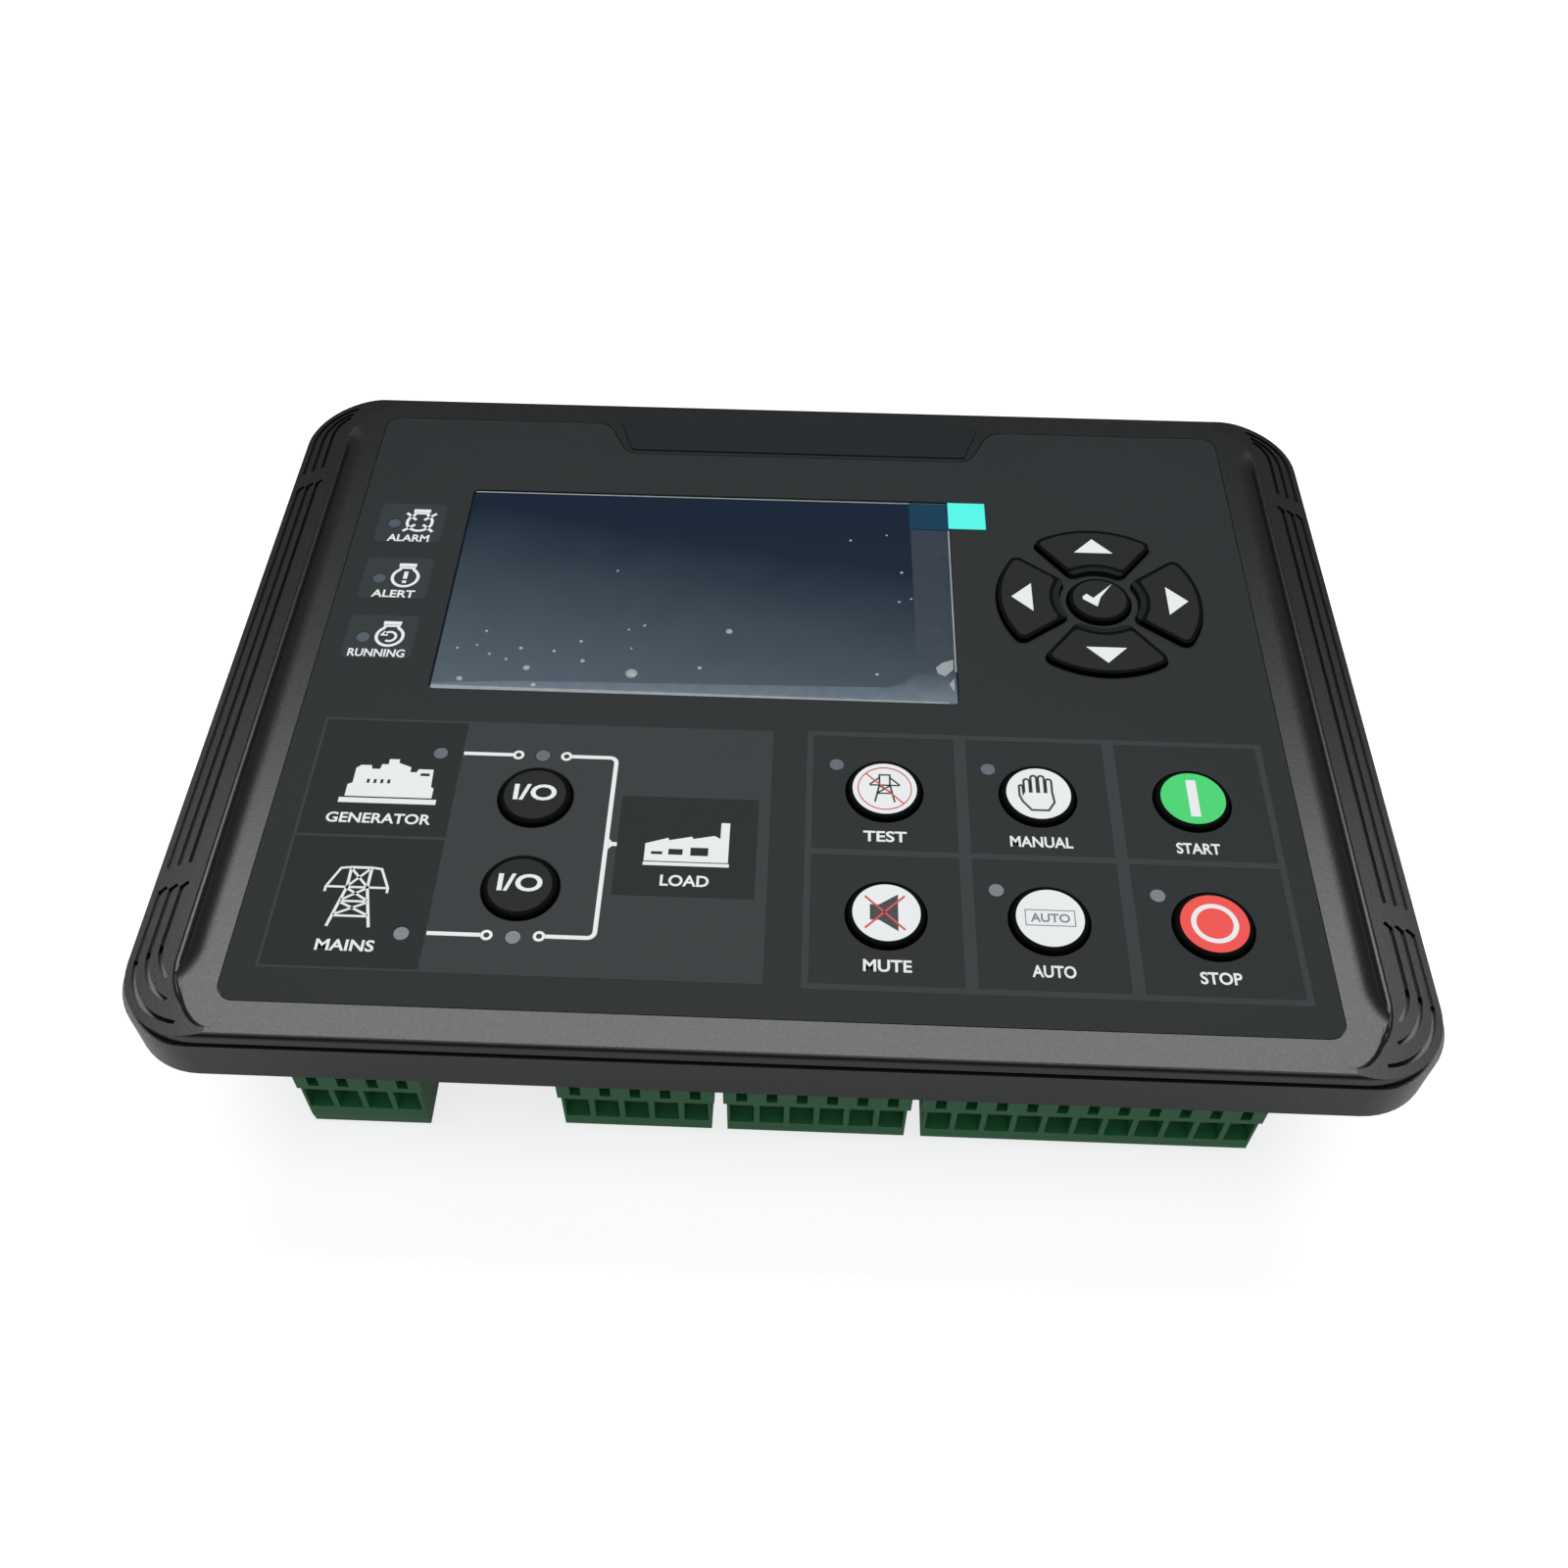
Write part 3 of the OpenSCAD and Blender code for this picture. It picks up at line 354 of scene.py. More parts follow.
def raised(name, regions, z, depth, material, body="controller"):
    """Flat regions, each a list of faces in millimetres, made into closed slabs that lie on the level z."""
    mesh = bmesh.new()
    for faces in regions:
        made = {}
        for face in faces:
            corners = []
            for x, y in face:
                key = (round(x, 4), round(y, 4))
                if key not in made:
                    made[key] = mesh.verts.new((x * MM, y * MM, z))
                if made[key] not in corners:
                    corners.append(made[key])
            mesh.faces.new(corners)
    top = bmesh.ops.extrude_face_region(mesh, geom=mesh.faces[:], use_keep_orig=True)["geom"]
    lifted = [v for v in top if isinstance(v, bmesh.types.BMVert)]
    bmesh.ops.translate(mesh, verts=lifted, vec=(0, 0, depth))
    bmesh.ops.recalc_face_normals(mesh, faces=mesh.faces[:])
    settle(name, mesh, material, body)


grey_ink = screened("grey_screen_ink", "#373a3b", "#343738", 0.6, 0.2)
smoke_ink = screened("smoke_screen_ink", "#303637", "#2d3334", 0.6, 0.2)
black_ink = screened("black_screen_ink", OVERLAY_BLACK, OVERLAY_SHADE, 0.6, 0.2)
PANEL = rectangle(-83.0, -66.3, -2.4, -13.4)
STATUS_Y = (39.1, 23.1, 7.1)
STATUS_PATCHES = [rectangle(-83.8, y - 5.7, -70.6, y + 5.7, 1.0) for y in STATUS_Y]
TILES = [
    rectangle(-82.5, -39.5, -57.1, -13.9),
    rectangle(-82.5, -65.8, -57.1, -40.1),
    rectangle(-28.0, -50.1, -4.4, -29.3),
]
GRID = (4.2, -66.3, 83.4, -13.6)
GRID_EDGE, COLUMN_LINE, ROW_LINE = 1.1, 2.1, 1.2
COLUMNS = (30.6, 56.8)
ROW = -39.8
BREAKERS, BREAKER_R = [(-43.0, -30.3), (-43.0, -49.4)], 6.75
LAMPS, LAMP_R = [(-80.5, y - 0.2) for y in STATUS_Y], 1.4
LAMPS += [(-61.0, -21.0), (-61.0, -59.1), (-42.9, -20.8), (-42.9, -59.1)]
frame_lines = outline(rectangle(*GRID), GRID_EDGE, closed=True)
inner_x0, inner_x1 = GRID[0] + GRID_EDGE / 2, GRID[2] - GRID_EDGE / 2
inner_y0, inner_y1 = GRID[1] + GRID_EDGE / 2, GRID[3] - GRID_EDGE / 2
for x in COLUMNS:
    frame_lines.append([rectangle(x - COLUMN_LINE / 2, inner_y0, x + COLUMN_LINE / 2, inner_y1)])
edges = [inner_x0, *[e for x in COLUMNS for e in (x - COLUMN_LINE / 2, x + COLUMN_LINE / 2)], inner_x1]
for left, right in zip(edges[::2], edges[1::2]):
    frame_lines.append([rectangle(left, ROW - ROW_LINE / 2, right, ROW + ROW_LINE / 2)])
openings = [circle(x, y, BREAKER_R) for x, y in BREAKERS] + [circle(x, y, LAMP_R, 24) for x, y in LAMPS]
raised("printed_grey_fields", [pierced(PANEL, openings), *frame_lines], Z_FACE, INK, grey_ink)
patches = [pierced(patch, openings) for patch in STATUS_PATCHES]
raised("printed_status_patches", patches, Z_FACE, INK, smoke_ink)
raised("printed_black_tiles", [pierced(tile, openings) for tile in TILES], Z_FACE, 2 * INK, black_ink)

# White print: the supply diagram, its small pictures and the plain function words, screened in
# white ink. The ink is dense and dull, and stands proud enough to be felt with a nail.
white_ink = screened("white_screen_ink", "#f4f5f3", "#eceeec", 0.55)
LETTER_SWELL = 0.022
LETTER_STEPS = 4
white_marks = []


def arc(x, y, r, start, end, n=20):
    """The points of an arc, from one angle to another in degrees."""
    turns = [math.radians(start + (end - start) * i / n) for i in range(n + 1)]
    return [(x + r * math.cos(a), y + r * math.sin(a)) for a in turns]


def words(text, middle, base, height, width):
    """A word in the plain built-in letters, thickened and fitted to a place, as one flat region."""
    curve = bpy.data.curves.new(text, "FONT")
    curve.body = text
    curve.offset = LETTER_SWELL
    curve.resolution_u = LETTER_STEPS
    holder = bpy.data.objects.new(text, curve)
    bpy.context.scene.collection.objects.link(holder)
    graph = bpy.context.evaluated_depsgraph_get()
    letters = bpy.data.meshes.new_from_object(holder.evaluated_get(graph))
    flat = [(v.co.x, v.co.y) for v in letters.vertices]
    x0, x1 = min(p[0] for p in flat), max(p[0] for p in flat)
    y0, y1 = min(p[1] for p in flat), max(p[1] for p in flat)
    fit = [
        (middle + ((x - x0) / (x1 - x0) - 0.5) * width, base + (y - y0) / (y1 - y0) * height)
        for x, y in flat
    ]
    faces = [[fit[i] for i in face.vertices] for face in letters.polygons]
    bpy.data.objects.remove(holder)
    bpy.data.curves.remove(curve)
    bpy.data.meshes.remove(letters)
    return faces


# Each word has its middle, base line, height and width.
WORDS = [
    ("ALARM", -77.0, 33.55, 2.02, 8.34),
    ("ALERT", -77.0, 17.65, 2.02, 8.34),
    ("RUNNING", -77.2, 1.85, 2.02, 10.67),
    ("GENERATOR", -69.2, -37.05, 2.2, 18.0),
    ("MAINS", -69.6, -62.85, 2.2, 9.51),
    ("LOAD", -16.1, -48.05, 2.29, 8.1),
    ("TEST", 17.2, -37.45, 2.29, 7.37),
    ("MANUAL", 43.6, -37.55, 2.29, 10.57),
    ("START", 69.9, -37.85, 2.29, 7.37),
    ("MUTE", 17.3, -63.25, 2.29, 7.76),
    ("AUTO", 43.7, -63.25, 2.29, 6.98),
    ("STOP", 70.0, -63.45, 2.29, 6.6),
]
for text, middle, base, height, width in WORDS:
    white_marks.append(words(text, middle, base, height, width))

# Supply diagram: lines of white ink that lead from each supply to its contact, a pair of rings
# in line with the breaker key, and on to one bus, where a small arrow points to the load.
LINE = 0.75
RINGS, RING_R, RING_LINE = [(-47.2, -20.9), (-38.7, -20.9), (-47.2, -58.9), (-38.7, -58.8)], 0.75, 0.5
for x, y in RINGS:
    white_marks += outline(circle(x, y, RING_R, 24), RING_LINE, closed=True)
BUS, BUS_BEND = -29.8, 1.2
bend = arc(BUS - BUS_BEND, -22.1, BUS_BEND, 90, 0, 6)
turn_in = arc(BUS - BUS_BEND, -57.6, BUS_BEND, 0, -90, 6)
white_marks += outline([(-37.7, -20.9), *bend, *turn_in, (-37.7, -58.8)], LINE)
white_marks += outline([(-56.9, -20.9), (-48.2, -20.9)], LINE)
white_marks += outline([(-56.9, -58.9), (-48.2, -58.9)], LINE)
to_load = [(BUS + 0.4, -40.9), (BUS + 1.0, -40.2), (-28.0, -40.2)]
to_load += [(-28.0, -39.4), (BUS + 1.0, -39.4), (BUS + 0.4, -38.7)]
white_marks.append([to_load])

# Generating set: a picture in white ink on the upper black tile. A skid carries an engine, with
# its filter and pipe, and an alternator, in one silhouette with slots left black.
engine = [(-76.0, -31.3), (-76.0, -28.7), (-75.2, -28.3), (-75.2, -25.0), (-74.4, -24.3), (-72.6, -24.3)]
engine += [(-72.4, -25.1), (-71.0, -25.1), (-70.8, -24.0), (-69.7, -24.0), (-69.7, -22.8), (-67.9, -22.8)]
engine += [(-67.9, -23.6), (-65.6, -24.5), (-65.6, -25.6), (-64.5, -25.6), (-64.2, -24.9), (-61.6, -24.9)]
engine += [(-61.4, -28.8), (-60.9, -29.1), (-60.9, -31.3)]
slots = [rectangle(x, -28.3, x + 0.5, -27.4) for x in (-72.8, -71.6, -70.4, -69.2)]
slots.append(rectangle(-63.7, -26.4, -62.1, -25.8))
white_marks.append(pierced(engine, slots))
white_marks.append([rectangle(-76.9, -32.7, -60.0, -31.6)])

# Mains pylon: a picture in white ink on the lower black tile. Two legs close upwards to the waist,
# with a cross arm above it and lattice bars between them.
LEG, THIN = 0.5, 0.42
PYLON_X, WAIST_Y, WAIST, LEAN = -69.95, -50.4, 1.6, 0.22
legs = [(-73.4, -58.2), (-71.6, -50.4), (-71.6, -46.4), (-68.2, -46.4), (-68.2, -50.4), (-66.5, -58.2)]
white_marks += outline(legs, LEG)
white_marks += outline([(-71.9, -46.4), (-73.3, -46.6), (-75.1, -50.4), (-75.1, -51.4)], THIN)
white_marks += outline([(-67.9, -46.4), (-66.5, -46.6), (-64.8, -50.4), (-64.8, -51.4)], THIN)
for y, half in ((WAIST_Y, 4.9), (-53.2, 2.1), (-56.1, 2.8)):
    white_marks += outline([(PYLON_X - half, y), (PYLON_X + half, y)], THIN)
for top, low in ((-46.6, -50.2), (-50.6, -53.0), (-53.4, -55.9)):
    wide, narrow = WAIST + max(0.0, WAIST_Y - low) * LEAN, WAIST + max(0.0, WAIST_Y - top) * LEAN
    white_marks += outline([(PYLON_X - narrow, top), (PYLON_X + wide, low)], THIN)
    white_marks += outline([(PYLON_X + narrow, top), (PYLON_X - wide, low)], THIN)

# Load: a picture in white ink on the right black tile. It is a works with a saw-tooth roof
# and a chimney, with three windows left black, on a line of ground.
works = [(-23.2, -43.0), (-23.2, -39.4), (-19.4, -38.1), (-19.2, -38.6), (-15.4, -37.7), (-15.2, -38.2)]
works += [(-11.6, -37.4), (-10.6, -38.0), (-10.6, -34.6), (-9.1, -34.6), (-9.1, -43.0)]
windows = [rectangle(-22.1, -41.6, -20.2, -41.0), rectangle(-19.2, -41.6, -16.8, -40.4)]
windows.append(rectangle(-15.5, -41.7, -12.5, -40.0))
white_marks.append(pierced(works, windows))
white_marks.append([rectangle(-23.3, -43.9, -8.9, -43.2)])

# Status pictures: white ink beside the three status lamps. Each is an engine's outline with
# a filler cap, which is struck at its corners, marked, or turning.
STATUS_X, STATUS_LIFT = -75.5, 0.15
ENGINE_R, ENGINE_LINE, TURNING_LINE = 2.5, 0.6, 0.5
for lamp_y, mark in zip(STATUS_Y, ("struck", "marked", "turning")):
    x, y = STATUS_X, lamp_y + STATUS_LIFT
    body = arc(x, y, ENGINE_R, 124, 416, 30)
    white_marks += outline([*body, (x + 1.2, y + 2.7), (x - 1.2, y + 2.7)], ENGINE_LINE, closed=True)
    white_marks.append([rectangle(x - 1.7, y + 2.9, x + 1.7, y + 3.9)])
    if mark == "struck":
        for sx, sy in ((-1, -1), (1, -1), (-1, 1), (1, 1)):
            stroke = [(x + sx * 0.8, y + sy * 0.7), (x + sx * 3.0, y + sy * 2.7)]
            white_marks += outline(stroke, ENGINE_LINE)
    elif mark == "marked":
        white_marks.append([rectangle(x - 0.4, y - 0.4, x + 0.4, y + 1.6)])
        white_marks.append([rectangle(x - 0.4, y - 1.6, x + 0.4, y - 0.9)])
    else:
        white_marks += outline(arc(x, y - 0.1, 1.2, 150, -120, 16), TURNING_LINE)
        white_marks.append([[(x - 1.9, y + 0.1), (x - 0.3, y + 0.1), (x - 1.1, y + 1.4)]])
raised("printed_white_marks", white_marks, Z_FACE, 3 * INK, white_ink)

# Display window: a cut sheet of tinted acrylic, glued under the overlay's edge.
# Against the dark panel it is a deep navy gloss, with the slight waves of cast sheet.
SHEET_WAVE = 4 * MM
navy_acrylic = moulded(
    "navy_tinted_acrylic", "#112034", "#0e1b2d", 0.16, ACRYLIC_IOR, SHEET_WAVE, 0.002 * MM
)
dress(navy_acrylic, "display_window")

# Protective film: clear polyethylene left on the window for shipping, clinging by itself.
# Its rolled surface is slightly hazy and wavy. Its colour is painted paler towards the lower edge,
# a painted sheen of the soft box above and behind.
HAZE, HAZE_SHARE = 9 * MM, 0.14
WAVE, WAVE_RISE = 14 * MM, 0.1 * MM
SLANT = 0.2
PAINTED_SHEEN_FAR, PAINTED_SHEEN_NEAR = -0.53, 0.97
POLYETHYLENE_IOR = 1.5
FILM_LOW, FILM_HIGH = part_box("protective_film")
FILM_TOP = FILM_HIGH.z
FILM_LEFT, FILM_RIGHT = FILM_LOW.x / MM, FILM_HIGH.x / MM
FILM_FRONT, FILM_REAR = FILM_LOW.y / MM, FILM_HIGH.y / MM
cling_film = empty_material("clear_polyethylene_film")
place = add(cling_film, "ShaderNodeTexCoord", {}).outputs["Object"]
haze = {"Vector": place, "Scale": 1 / HAZE, "Detail": 4.0}
haze = add(cling_film, "ShaderNodeTexNoise", haze).outputs["Fac"]
# The ramp along this slant is painted sheen: the film grows paler towards its lower edge.
along = {0: place, 1: (SLANT, 1, 0)}
along = add(cling_film, "ShaderNodeVectorMath", along, operation="DOT_PRODUCT").outputs["Value"]
far, near = FILM_HIGH.y + SLANT * FILM_HIGH.x, FILM_LOW.y + SLANT * FILM_LOW.x
painted_sheen = {"Value": along, "From Min": far, "From Max": near, "To Min": PAINTED_SHEEN_FAR, "To Max": PAINTED_SHEEN_NEAR}
painted_sheen = add(cling_film, "ShaderNodeMapRange", painted_sheen).outputs["Result"]
cloud = {0: haze, 1: HAZE_SHARE, 2: painted_sheen}
cloud = add(cling_film, "ShaderNodeMath", cloud, operation="MULTIPLY_ADD").outputs["Value"]
milk = {0: cloud, 6: linear("#0b2a42"), 7: linear("#70828d")}
milk = add(cling_film, "ShaderNodeMix", milk, data_type="RGBA").outputs[2]
wave = {"Vector": place, "Scale": 1 / WAVE, "Detail": 1.0}
wave = add(cling_film, "ShaderNodeTexNoise", wave).outputs["Fac"]
bump = {"Height": wave, "Strength": 0.3, "Distance": WAVE_RISE}
bump = add(cling_film, "ShaderNodeBump", bump).outputs["Normal"]
skin = {"Base Color": milk, "Roughness": 0.36, "IOR": POLYETHYLENE_IOR, "Alpha": 0.5, "Normal": bump}
skin["Specular IOR Level"] = 0.3
surface = add(cling_film, "ShaderNodeBsdfPrincipled", skin).outputs["BSDF"]
add(cling_film, "ShaderNodeOutputMaterial", {"Surface": surface})
dress(cling_film, "protective_film")

# Air pocket: along the right and lower edges the polyethylene has lifted off the window. The air
# under it turns it milky and flecked, most at the lower edge, up to a line with a rounded corner.
FLECK = 2.5 * MM
VEIL_NEAR, VEIL_FAR, VEIL_REACH = 0.6, 0.12, 8 * MM
lifted_film = empty_material("lifted_polyethylene_film")
place = add(lifted_film, "ShaderNodeTexCoord", {}).outputs["Object"]
haze = {"Vector": place, "Scale": 1 / FLECK, "Detail": 5.0}
haze = add(lifted_film, "ShaderNodeTexNoise", haze).outputs["Fac"]
milk = {0: haze, 6: linear("#66798c"), 7: linear("#93a3b2")}
milk = add(lifted_film, "ShaderNodeMix", milk, data_type="RGBA").outputs[2]
along = add(lifted_film, "ShaderNodeSeparateXYZ", {"Vector": place}).outputs["Y"]
veil = {"Value": along, "From Min": FILM_LOW.y, "From Max": FILM_LOW.y + VEIL_REACH}
veil |= {"To Min": VEIL_NEAR, "To Max": VEIL_FAR}
veil = add(lifted_film, "ShaderNodeMapRange", veil).outputs["Result"]
skin = {"Base Color": milk, "Roughness": 0.4, "IOR": POLYETHYLENE_IOR, "Alpha": veil}
surface = add(lifted_film, "ShaderNodeBsdfPrincipled", skin).outputs["BSDF"]
add(lifted_film, "ShaderNodeOutputMaterial", {"Surface": surface})
POCKET_X, POCKET_Y, POCKET_R = 23.6, -1.6, 6.5
POCKET = 0.02 * MM
inner_bend = arc(POCKET_X - POCKET_R, POCKET_Y + POCKET_R, POCKET_R, 0, -90, 12)
tail = [(FILM_LEFT + 15, FILM_FRONT + 2.4), (FILM_LEFT, FILM_FRONT + 1.4), (FILM_LEFT, FILM_FRONT)]
pocket = [(FILM_RIGHT, FILM_FRONT), (FILM_RIGHT, FILM_REAR), (POCKET_X - 0.5, FILM_REAR)]
pocket += [*inner_bend, *tail]
raised("film_air_pocket", [pierced(pocket, [])], FILM_TOP, POCKET, lifted_film)

# Cut edge and torn corner: the film's lower edge was slit with a knife and stands up a little.
# The edge is drawn as a pale line, the rear and right edges as thinner pale lines, and the corner
# has two white flakes.
pale_film_edges = empty_material("pale_white_polyethylene")
place = add(pale_film_edges, "ShaderNodeTexCoord", {}).outputs["Object"]
haze = {"Vector": place, "Scale": 1 / FLECK, "Detail": 3.0}
haze = add(pale_film_edges, "ShaderNodeTexNoise", haze).outputs["Fac"]
milk = {0: haze, 6: linear("#aab3b6"), 7: linear("#d6dbda")}
milk = add(pale_film_edges, "ShaderNodeMix", milk, data_type="RGBA").outputs[2]
skin = {"Base Color": milk, "Roughness": 0.4, "IOR": POLYETHYLENE_IOR, "Alpha": 0.55}
surface = add(pale_film_edges, "ShaderNodeBsdfPrincipled", skin).outputs["BSDF"]
add(pale_film_edges, "ShaderNodeOutputMaterial", {"Surface": surface})
FLAKES = [
    [(27.1, 3.8), (28.4, 5.1), (30.4, 5.9), (30.3, 3.4), (28.8, 1.6), (27.4, 2.3)],
    [(29.5, -0.3), (30.4, 1.2), (30.4, -2.2), (29.9, -1.5)],
]
FILM_RIM = 0.3
cut_end = FILM_RIGHT - 1.5
cut_edge = [(FILM_LEFT, FILM_FRONT), (cut_end, FILM_FRONT), (cut_end, FILM_FRONT + 0.35)]
cut_edge += [(FILM_LEFT + 40, FILM_FRONT + 0.7), (FILM_LEFT, FILM_FRONT + 0.9)]
rim = outline([(FILM_LEFT, FILM_REAR), (FILM_RIGHT, FILM_REAR), (FILM_RIGHT, FILM_FRONT + 8)], FILM_RIM)
torn = [[cut_edge], *[[flake] for flake in FLAKES], *rim]
raised("film_cut_edge", torn, FILM_TOP + POCKET, POCKET, pale_film_edges)

# Bubbles: pinches of air under the film, each a shallow blister that catches the lamp.
# Their near-white colour is a painted highlight of that lamp, and their skin is smooth and glossy.
BLISTER_GLINT_SCALE = 0.8 * MM
BLISTER_RISE = 0.28
blister = empty_material("polyethylene_blister_painted_highlight")
place = add(blister, "ShaderNodeTexCoord", {}).outputs["Object"]
haze = add(blister, "ShaderNodeTexNoise", {"Vector": place, "Scale": 1 / BLISTER_GLINT_SCALE}).outputs["Fac"]
# These two near-white shades are painted highlight, varied a little by noise.
milk = {0: haze, 6: linear("#bcc8d2"), 7: linear("#eef2f4")}
milk = add(blister, "ShaderNodeMix", milk, data_type="RGBA").outputs[2]
skin = {"Base Color": milk, "Roughness": 0.12, "IOR": POLYETHYLENE_IOR, "Alpha": 0.5}
surface = add(blister, "ShaderNodeBsdfPrincipled", skin).outputs["BSDF"]
add(blister, "ShaderNodeOutputMaterial", {"Surface": surface})
BUBBLES = [(-29.2, -0.1, 1.15), (-11.7, 11.6, 0.65), (-48.8, 0.6, 0.65), (-60.8, -2.6, 0.6)]
BUBBLES += [(-52.9, 2.7, 0.3), (-50.5, 5.6, 0.4), (-44.2, 5.1, 0.35), (-39.4, 7.8, 0.35)]
BUBBLES += [(-38.6, 2.8, 0.45), (-30.7, 11.3, 0.25), (-27.8, 12.5, 0.3), (-29.8, 6.4, 0.25)]
BUBBLES += [(-16.7, 1.9, 0.4), (11.2, 38.0, 0.3), (18.4, 39.8, 0.25), (21.2, 29.1, 0.35)]
BUBBLES += [(-34.4, 27.3, 0.25), (22.9, 21.8, 0.25), (20.6, 20.9, 0.3), (16.2, 1.6, 0.35)]
BUBBLES += [(-57.6, 9.8, 0.3), (-56.2, 3.9, 0.3), (-58.8, 6.1, 0.25), (-62.4, 5.2, 0.25)]
BUBBLES += [(-47.0, -3.6, 0.5)]
bubbles = bmesh.new()
for x, y, r in BUBBLES:
    spot = Matrix.Translation((x * MM, y * MM, FILM_TOP)) @ Matrix.Diagonal((1, 1, BLISTER_RISE, 1))
    bmesh.ops.create_uvsphere(bubbles, u_segments=20, v_segments=14, radius=r * MM, matrix=spot)
for face in bubbles.faces:
    face.smooth = True
settle("film_bubbles", bubbles, blister, "controller")

# Pull tab: aqua polyester tape, stuck half under the film's edge and half free over the overlay.
# It is one flat glossy colour, which looks dark where the film covers it.
aqua_tape = empty_material("aqua_polyester_tape")
place = add(aqua_tape, "ShaderNodeTexCoord", {}).outputs["Object"]
across = add(aqua_tape, "ShaderNodeSeparateXYZ", {"Vector": place}).outputs["X"]
free = {0: across, 1: FILM_RIGHT * MM}
free = add(aqua_tape, "ShaderNodeMath", free, operation="GREATER_THAN").outputs["Value"]
tape = {0: free, 6: linear("#0b3c55"), 7: linear("#5affee")}
tape = add(aqua_tape, "ShaderNodeMix", tape, data_type="RGBA").outputs[2]
skin = {"Base Color": tape, "Roughness": 0.35, "IOR": 1.55, "Specular IOR Level": 0.15}
surface = add(aqua_tape, "ShaderNodeBsdfPrincipled", skin).outputs["BSDF"]
add(aqua_tape, "ShaderNodeOutputMaterial", {"Surface": surface})
dress(aqua_tape, "film_pull_tab")

# Keys: caps of deep black ABS that stand through the overlay, each on its own push switch.
# Print covers each cap up to a dull black rim: black, white, green or red, with a mark in a second
# ink. The coats are thick and even, with a low sheen.
KEY_RELIEF = 0.006 * MM
KEY_GLOSS = 0.04
key_abs = moulded("black_abs_key_cap", "#070808", "#050606", 0.6, ABS_IOR, VELVET, KEY_RELIEF, KEY_GLOSS)
dress(key_abs, *[name for name in nodes if name.startswith("key_")])
DISC_R, BREAKER_DISC_R, CONFIRM_DISC_R = 5.55, 5.3, 5.1
red_ink = screened("red_screen_ink", "#fb5049", "#f54841", 0.5, 0.3)
green_ink = screened("green_screen_ink", "#46de76", "#3dd66d", 0.5, 0.3)
cap_ink = screened("black_cap_ink", "#191c1d", "#16191a", 0.6, 0.2)
line_red = screened("red_line_ink", "#d9403c", "#d13935", 0.5)
line_black = screened("black_line_ink", "#1c1c1d", "#161617", 0.5)
line_grey = screened("grey_line_ink", "#7d8082", "#747779", 0.5)


def legend(key, layers):
    """The print on one key: layers of ink from the cap upwards, each moved to the key's middle."""
    low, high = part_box("key_" + key)
    x0, y0 = (low.x + high.x) / 2 / MM, (low.y + high.y) / 2 / MM
    for level, (kind, regions, ink, slot) in enumerate(layers, 1):
        moved = [[[(x + x0, y + y0) for x, y in face] for face in faces] for faces in regions]
        raised(f"{key}_{kind}", moved, high.z, level * INK, ink, key + "_key")


def disc(ink, slot, r=DISC_R):
    """The coat of ink that covers a round cap."""
    return ("disc", [[circle(0, 0, r, 64)]], ink, slot)


white_disc = disc(white_ink, "white_key")

# Test: a small pylon, struck out by a ring with a bar.
FINE = 0.3
pylon = outline([(-1.7, -3.0), (-0.9, 0.8), (-0.9, 3.0), (0.9, 3.0), (0.9, 0.8), (1.7, -3.0)], 0.32)
pylon += outline([(-2.6, 0.7), (2.6, 0.7)], FINE) + outline([(-1.3, -1.1), (1.3, -1.1)], FINE)
pylon += outline([(-2.6, 0.8), (-0.9, 2.4)], FINE) + outline([(2.6, 0.8), (0.9, 2.4)], FINE)
pylon += outline([(-1.2, -1.0), (0.9, 0.6)], FINE) + outline([(1.2, -1.0), (-0.9, 0.6)], FINE)
barred = outline(circle(0, 0, 4.6, 48), 0.18, closed=True) + outline([(-3.2, 3.2), (3.2, -3.2)], 0.24)
picture = ("picture", pylon, line_black, "black_key")
legend("test", [white_disc, picture, ("bar", barred, line_red, "red_key")])

# Manual: a raised hand in outline, with the middle and tip of each finger given.
HAND_LINE, FINGER = 0.4, 0.5
FINGERS = [(-1.95, 2.6), (-0.7, 3.4), (0.6, 3.4), (1.85, 2.7)]
hand = [(-3.3, -0.6), (-3.3, 1.4), *arc(-2.98, 1.4, 0.32, 180, 0, 4), (-2.66, -0.2)]
for x, tip in FINGERS:
    hand += [(x - FINGER, 0.3), (x - FINGER, tip), *arc(x, tip, FINGER, 180, 0, 6), (x + FINGER, 0.3)]
hand += [(2.6, -1.9), (1.5, -3.7), (-1.4, -3.7), (-2.8, -1.9)]
legend("manual", [white_disc, ("picture", outline(hand, HAND_LINE, closed=True), line_black, "black_key")])

# Start: an upright bar. Mute: a horn under a cross. Auto: the word in a frame. Stop: a ring.
bar = [[rectangle(-0.85, -4.0, 0.85, 4.0, 0.2)]]
legend("start", [disc(green_ink, "green_key"), ("mark", bar, white_ink, "white_key")])
CROSS_LINE = 0.34
horn = [(-2.7, -1.5), (-1.2, -1.5), (1.9, -3.6), (1.9, 3.6), (-1.2, 1.5), (-2.7, 1.5)]
crossed = outline([(-3.5, 3.1), (3.0, -3.3)], CROSS_LINE) + outline([(-3.5, -3.1), (3.0, 3.3)], CROSS_LINE)
picture = ("picture", [[horn]], line_black, "black_key")
legend("mute", [white_disc, picture, ("cross", crossed, line_red, "red_key")])
sign = outline(rectangle(-4.0, -1.5, 4.0, 1.5), 0.16, closed=True) + [words("AUTO", 0.0, -0.85, 1.7, 6.4)]
legend("auto", [white_disc, ("sign", sign, line_grey, "black_key")])
ring = outline(circle(0, 0, 3.4, 48), 0.85, closed=True)
legend("stop", [disc(red_ink, "red_key"), ("mark", ring, white_ink, "white_key")])

